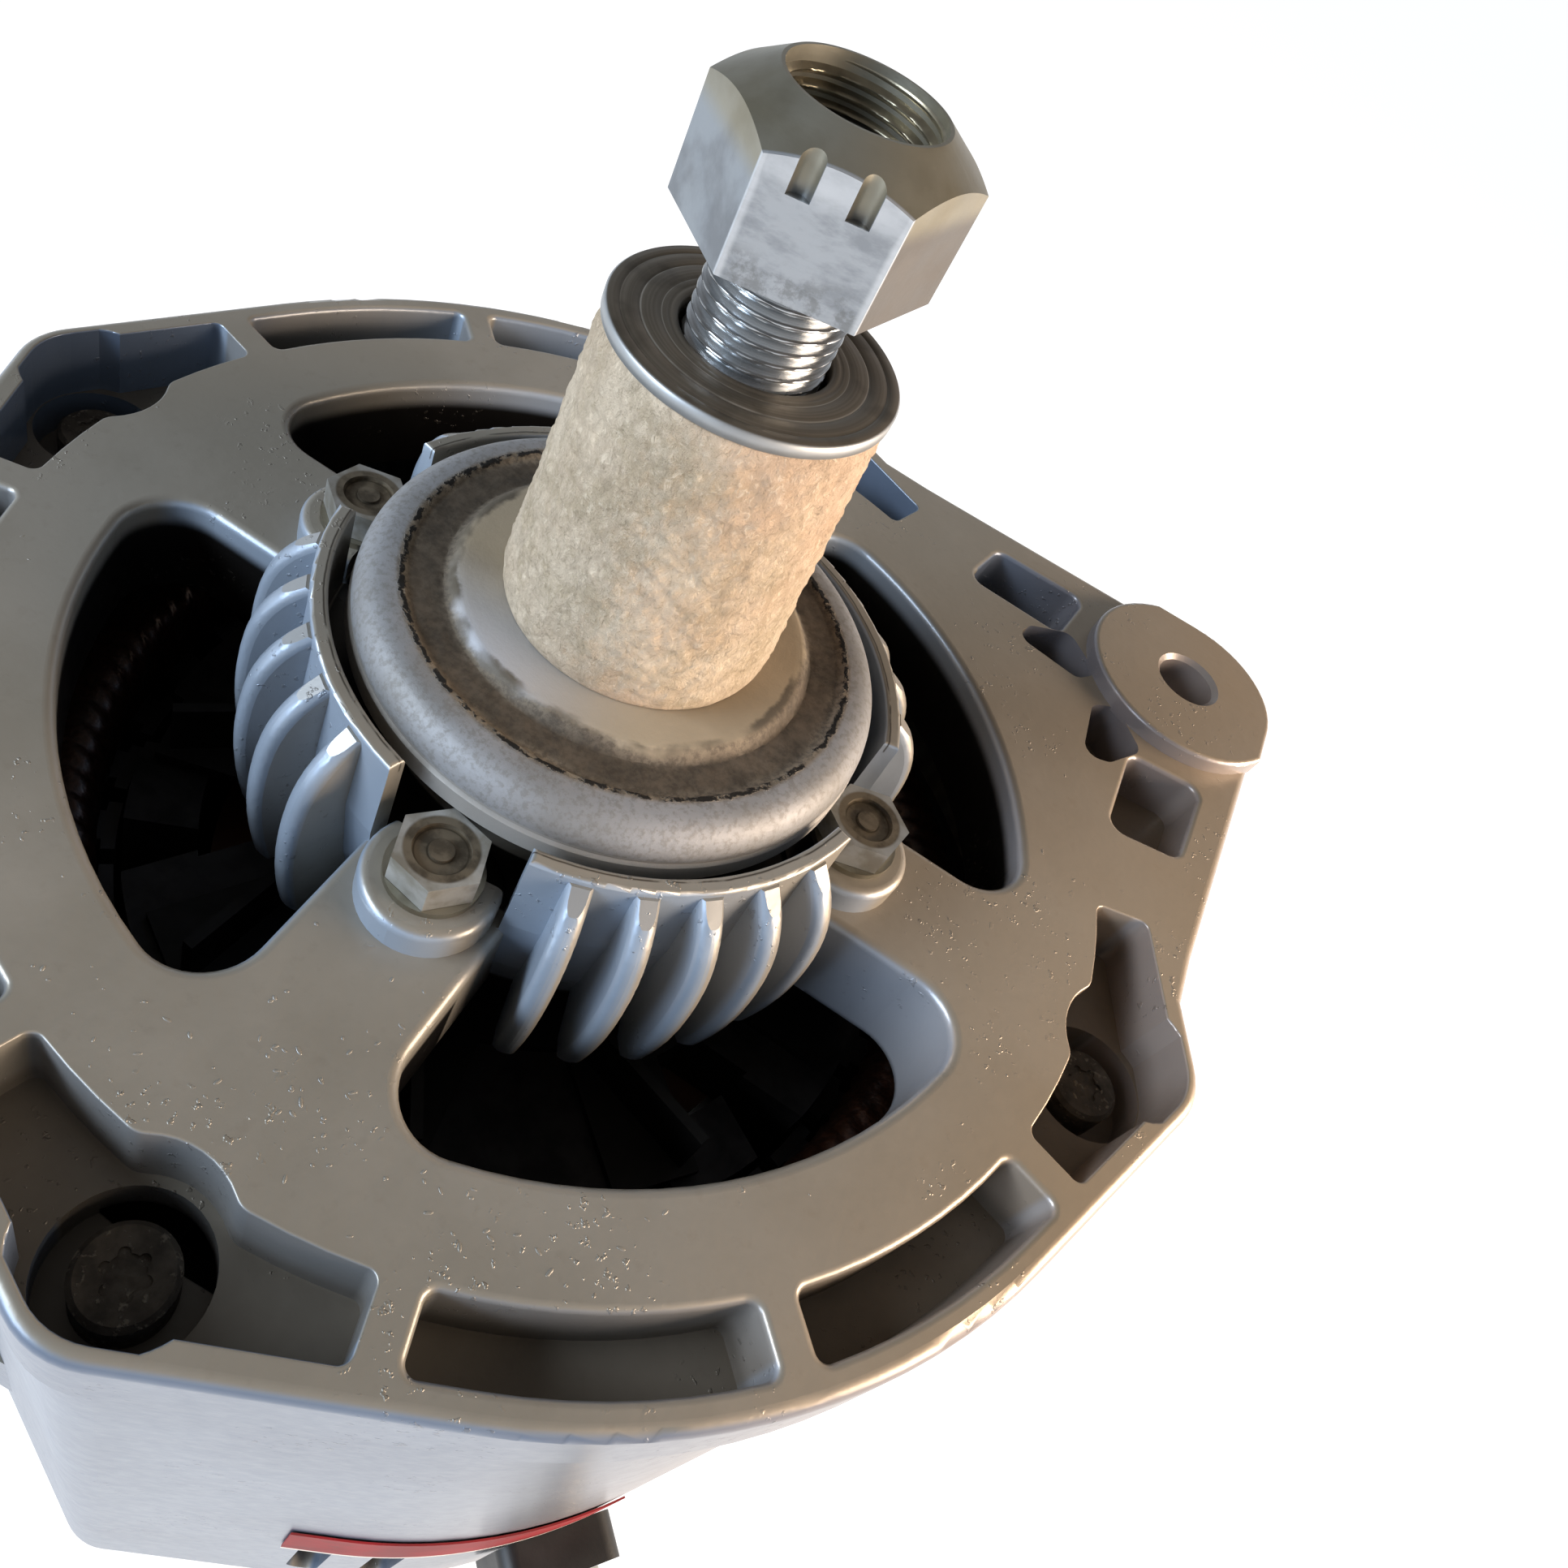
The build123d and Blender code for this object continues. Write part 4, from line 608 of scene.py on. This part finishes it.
def build_sleeve(material):
    """Tapered cardboard tube with a dented, creased outside."""
    height = SLEEVE_HIGH - SLEEVE_LOW
    rows, steps = 130, 340
    bore, end_r = 0.0117, 0.0140
    outer = []
    for j in range(rows + 1):
        t = j / rows
        r = 0.01805 - 0.0017 * t - 0.0006 * max(0.0, 1 - t * 14) ** 2 - 0.0003 * max(0.0, t * 30 - 29)
        outer.append((r, SLEEVE_LOW + height * t))
    profile = outer + [(end_r, SLEEVE_HIGH), (bore, SLEEVE_HIGH), (bore, SLEEVE_LOW), (end_r, SLEEVE_LOW)]

    def place(r, z, a, j):
        if j <= rows:
            t = (z - SLEEVE_LOW) / height
            calm = min(1.0, 10 * t + 0.2, 12 * (1 - t) + 0.15)
            x, y = r * math.cos(a), r * math.sin(a)
            dent = 0.00022 * rough(x, y, z * 0.7, 130) + 0.00026 * rough(x, y, z * 1.4, 420)
            dent += 0.00018 * rough(x, y, z * 1.5, 1000)
            crease = max(0.0, rough(x + 0.4, y, z * 0.5, 210) - 0.35)
            r += calm * (dent - 0.0007 * crease) - 0.00018
        return r, z

    points, faces = turned_mesh(profile, steps, place)
    body = "sleeve_and_washer"
    piece("kraft_sleeve", points, faces, material, body, ["cardboard_sleeve"])


def build_washer(material):
    """Washer with shallow turned grooves in its top."""
    low, high = WASHER_LOW, WASHER_HIGH
    top = [(0.01646, high - 0.00025), (0.0162, high)]
    for groove in (0.0149, 0.0128, 0.0105, 0.0096):
        depth = 0.00010 if groove > 0.011 else 0.00006
        top += [(groove + 0.0002, high), (groove, high - depth), (groove - 0.0002, high)]
    profile = [(0.0086, low), (0.0162, low), (0.01646, low + 0.00025), *top]
    profile += [(0.0088, high), (0.0086, high - 0.0002)]
    points, faces = turned_mesh(profile, 160)
    body = "sleeve_and_washer"
    made = piece("turned_washer", points, faces, material, body, ["shaft_washer"])
    sharpen(made, 50)


def build_slinger(material):
    """Slinger with a rolled rim, a crusted groove and a raised middle."""
    z = FACE
    rim_r, roll = 0.0304, 0.0044
    rim = []
    for k in range(13):
        a = math.radians(-14 + 104 * k / 12)
        out = roll * math.cos(a) ** 0.9 if math.cos(a) > 0 else 0.0
        rim.append((rim_r + out, z + 0.0142 + roll * math.sin(a)))
    profile = [
        (0.01103, z - 0.00198), (0.0164, z - 0.00198), (0.0164, z + 0.004), (0.0205, z + 0.004),
        (0.0205, z + 0.013), (0.0315, z + 0.013), (0.0315, z + 0.0096), (0.0344, z + 0.0096),
        (0.0350, z + 0.0101), (0.0350, z + 0.0126), (0.0345, z + 0.0131), (0.0341, z + 0.0132),
    ]
    profile += rim
    profile += [(0.0298, z + 0.0186), (0.0292, z + 0.01855), (0.0288, z + 0.0182)]
    profile += [(0.0286 - 0.0042 * k / 20, z + 0.0181) for k in range(1, 21)]
    profile += [(0.0240, z + 0.0184), (0.0235, z + 0.0190), (0.0231, z + 0.0194), (0.0226, z + 0.0195)]
    profile += [(0.0226 - 0.0113 * k / 12, z + 0.0195) for k in range(1, 13)]

    def place(r, h, a, j):
        if h > z + 0.0178 and 0.0240 < r < 0.0305:
            x, y = r * math.cos(a), r * math.sin(a)
            crust = max(0.0, 1 - abs(r - 0.0291 + 0.0006 * rough(x, y, 0.2, 260)) / 0.0008)
            h += 0.00010 * rough(x, y, 0.0, 700) + crust * 0.00022 * max(0.0, rough(x, y, 0.5, 520) + 0.15)
        return r, min(h, z + 0.0188) if r > 0.0245 else h

    points, faces = turned_mesh(profile, 300, place)
    made = piece("slinger_disc", points, faces, material, "rotor", ["slinger"])
    sharpen(made, 38)


def build_windings(material):
    """End turns as slanted strands, one ring at each end of the stator."""
    points, faces = [], []
    for low, high, lean in ((0.0840, 0.0988, 1), (0.1492, 0.1640, -1)):
        rows = 26
        loop = []
        for j in range(rows):
            a = 2 * math.pi * j / rows
            sx, sz = math.cos(a), math.sin(a)
            across, up = math.copysign(abs(sx) ** 0.6, sx), math.copysign(abs(sz) ** 0.6, sz)
            loop.append((WINDING_R + 0.0050 * across, (low + high) / 2 + (high - low) / 2 * up))
        middle = (WINDING_R, (low + high) / 2)

        def place(r, z, a, j, lean=lean, middle=middle):
            turn = math.atan2(z - middle[1], r - middle[0])
            strand = abs(math.sin(54 * a + lean * 3 * turn)) ** 0.7 - 0.75
            fine = 0.35 * math.sin(270 * a + lean * 9 * turn)
            push = 0.0009 * strand + 0.00022 * fine
            return r + push * math.cos(turn), z + push * math.sin(turn)

        more_points, more_faces = turned_mesh(loop, 540, place)
        start = len(points)
        points += more_points
        faces += [tuple(start + k for k in f) for f in more_faces]
    piece("winding_end_turns", points, faces, material, "housing", ["stator_windings"])


def build_nibs(material):
    """Dust nibs under the paint, thickest on the front spoke and the ring beside it."""
    random.seed(11)
    points, faces = [], []
    all_nibs, front_nibs, around = 120, 96, 9
    made = 0
    while made < all_nibs:
        angle = random.gauss(279, 17) if made < front_nibs else random.uniform(0, 360)
        a, r = math.radians(angle), random.uniform(0.0500, 0.0778)
        x, y = r * math.cos(a), r * math.sin(a)
        on_spoke = min(abs(x), abs(y)) < 0.0082
        if r < 0.0688 and not on_spoke:
            continue
        if rough(x, y, 0.3, 75) < -0.05 and random.random() < 0.8:
            continue
        made += 1
        size = random.uniform(0.00010, 0.00024)
        long_side = size * random.uniform(1.2, 3.0)
        turn = random.uniform(0, math.pi)
        start = len(points)
        for ring_share, lift in ((1.0, -0.00004), (0.78, 0.12), (0.40, 0.22)):
            for k in range(around):
                b = 2 * math.pi * k / around
                u, v = long_side * ring_share * math.cos(b), size * ring_share * math.sin(b)
                h = lift if lift < 0 else lift * size
                nib_x = x + u * math.cos(turn) - v * math.sin(turn)
                nib_y = y + u * math.sin(turn) + v * math.cos(turn)
                points.append((nib_x, nib_y, FACE + h))
        points.append((x, y, FACE + 0.25 * size))
        strip(faces, start, start + around, around)
        strip(faces, start + around, start + 2 * around, around)
        top = start + 3 * around
        for k in range(around):
            faces.append((start + 2 * around + k, start + 2 * around + (k + 1) % around, top))
        faces.append(tuple(start + k for k in reversed(range(around))))
    piece("paint_nibs", points, faces, material, "housing")


def build_bolt_dirt(material):
    """Dirt packed into the recesses of the four through bolts."""
    top, dirt_r, rings, around = FACE - 0.0113, 0.0029, 7, 28
    points, faces = [], []
    for quarter in range(4):
        a = quarter * math.pi / 2
        cx, cy = BOLT_CIRCLE * math.cos(a), BOLT_CIRCLE * math.sin(a)
        start = len(points)
        for ring_index in range(rings):
            share = 1 - ring_index / rings
            for k in range(around):
                b = 2 * math.pi * k / around
                x, y = cx + dirt_r * share * math.cos(b), cy + dirt_r * share * math.sin(b)
                lump = 0.00028 * rough(x, y, 0.1, 900)
                points.append((x, y, top + lump + 0.00016 * rough(x, y, 0.7, 2200)))
        points.append((cx, cy, top))
        low_start = len(points)
        for k in range(around):
            b = 2 * math.pi * k / around
            points.append((cx + dirt_r * math.cos(b), cy + dirt_r * math.sin(b), top - 0.0012))
        for ring_index in range(rings - 1):
            low = start + ring_index * around
            strip(faces, low, low + around, around)
        inner = start + (rings - 1) * around
        for k in range(around):
            m = (k + 1) % around
            faces.append((inner + k, inner + m, low_start - 1))
            faces.append((low_start + k, low_start + m, start + m, start + k))
        faces.append(tuple(low_start + k for k in reversed(range(around))))
    piece("bolt_dirt", points, faces, material, "housing")


# ---- everything together -------------------------------------------------------------
def dress_nodes():
    """Gives each CAD node its look and adds the pieces made here."""
    paint, cover = casting_paint(), cover_paint()
    zinc = steel("yellow_zinc", "a9a598", "8a8474", low=0.22, high=0.42)
    bright = turned("ground_steel", "b9bbbd", "8e9092", 1800.0, low=0.2, high=0.4)
    bolt_dust = dusty_bolt()
    pressed = steel("pressed_steel", "201f1e", "141313", metallic=0.4, low=0.5, high=0.7)
    spring = steel("spring_steel", "8f9194", "6c6e70", low=0.25, high=0.4)
    black = plastic("black_plastic", "151515", "1f1f20")
    amber = plastic("amber_plastic", "4d2c14", "3a2010")
    carbon = plastic("carbon", "26262a", "17171a", 0.5, 0.75)
    rubber = plastic("seal_rubber", "0f0f0f", "191919", 0.6, 0.8)
    alloy = steel("cast_alloy", "a4a5a6", "878889", metallic=0.7, low=0.35, high=0.55)
    diode = steel("diode_case", "a79f8e", "8a8374", low=0.25, high=0.45)
    wire = copper_wire()
    copper = steel("bare_copper", "b5673a", "8c4a28", low=0.25, high=0.45)
    iron = steel("forged_iron", "3b3a3b", "262526", metallic=0.7, low=0.45, high=0.7)
    looks = {
        paint: ["drive_end_frame", "rear_end_frame"],
        cover: ["rear_cover"],
        nut_zinc(): ["shaft_nut"],
        hub_bolt_zinc(): ["hub_bolts"],
        zinc: ["hub_bolt_washers", "output_nut", "output_washer", "cover_screws", "output_stud"],
        bolt_dust: ["through_bolts"],
        bright: [
            "front_bearing_outer", "front_bearing_inner", "front_bearing_balls", "rear_bearing_outer",
            "rear_bearing_inner", "rear_bearing_balls", "front_spacer", "pivot_bushing",
        ],
        pressed: ["front_fan", "rear_fan", "bearing_retainer"],
        diode: ["positive_diodes", "negative_diodes", "front_bearing_cage", "rear_bearing_cage"],
        spring: ["brush_spring_lower", "brush_spring_upper"],
        black: ["brush_holder", "regulator_case", "terminal_insulator", "signal_connector", "capacitor"],
        amber: ["field_bobbin", "slip_ring_insulator"],
        carbon: ["brush_lower", "brush_upper"],
        rubber: ["front_seal"],
        alloy: ["regulator_heat_sink", "positive_heat_sink", "negative_heat_sink"],
        wire: ["field_coil"],
        copper: ["slip_rings", "output_busbar"],
        iron: ["rotor_core", "front_claw_pole", "rear_claw_pole"],
        laminations(): ["stator_core"],
        label_film(): ["side_label"],
    }
    for material, names in looks.items():
        for name in names:
            made = nodes[name]
            made.data.materials.clear()
            made.data.materials.append(material)
    build_shaft(turned("bright_shaft", "c3c6c9", "8f9294", 900.0, metallic=0.95, low=0.16, high=0.34))
    build_nut_thread(steel("thread_zinc", "a29a86", "6e675a", low=0.22, high=0.42))
    build_sleeve(kraft())
    build_washer(washer_steel())
    build_slinger(slinger_finish())
    build_windings(wire)
    build_nibs(paint)
    build_bolt_dirt(bolt_dust)


def make_floor():
    size = 9.0
    corners = [(-size, -size, 0), (size, -size, 0), (size, size, 0), (-size, size, 0)]
    floor = piece("floor", corners, [(0, 1, 2, 3)], floor_card())


def lamp(name, kind, place, target, energy, colour, size):
    """A light aimed at a point. size is an angle for a sun, or else a width in metres."""
    data = bpy.data.lights.new(name, kind)
    data.energy, data.color = energy, colour
    if kind == "SUN":
        data.angle = size
    else:
        data.shape, data.size, data.size_y = "RECTANGLE", size, size * 0.7
    made = bpy.data.objects.new(name, data)
    made.location = place
    made.rotation_mode = "QUATERNION"
    made.rotation_quaternion = (Vector(target) - Vector(place)).to_track_quat("-Z", "Y")
    bpy.context.scene.collection.objects.link(made)


def make_light():
    world = bpy.data.worlds.new("studio")
    world.use_nodes = True
    tree = world.node_tree
    tree.nodes.clear()
    out = tree.nodes.new("ShaderNodeOutputWorld")
    background = tree.nodes.new("ShaderNodeBackground")
    ramp = tree.nodes.new("ShaderNodeValToRGB")
    split = tree.nodes.new("ShaderNodeSeparateXYZ")
    place = tree.nodes.new("ShaderNodeTexCoord")
    tree.links.new(place.outputs["Generated"], split.inputs[0])
    tree.links.new(split.outputs[2], ramp.inputs[0])
    tree.links.new(ramp.outputs[0], background.inputs[0])
    tree.links.new(background.outputs[0], out.inputs[0])
    stops = ((0.0, (0.80, 0.86, 0.95, 1)), (0.62, (0.16, 0.145, 0.13, 1)))
    for stop, (position, colour) in zip(ramp.color_ramp.elements, stops):
        stop.position, stop.color = position, colour
    background.inputs[1].default_value = 0.75
    bpy.context.scene.world = world
    middle = (0.0, 0.0, 0.15)
    lamp("key", "SUN", (-0.62, -1.0, 0.48), middle, 1.7, (0.66, 0.81, 1.0), math.radians(25))
    lamp("soft_box", "AREA", (-0.50, -0.42, 0.52), (0, 0, FACE), 4.5, (0.80, 0.90, 1.0), 0.30)
    lamp("warm_fill", "AREA", (0.8, 0.1, 0.35), (0, 0, FACE), 17.0, (1.0, 0.80, 0.62), 0.6)


make_camera()
dress_nodes()
make_floor()
make_light()
bpy.context.scene.view_settings.view_transform = "Standard"
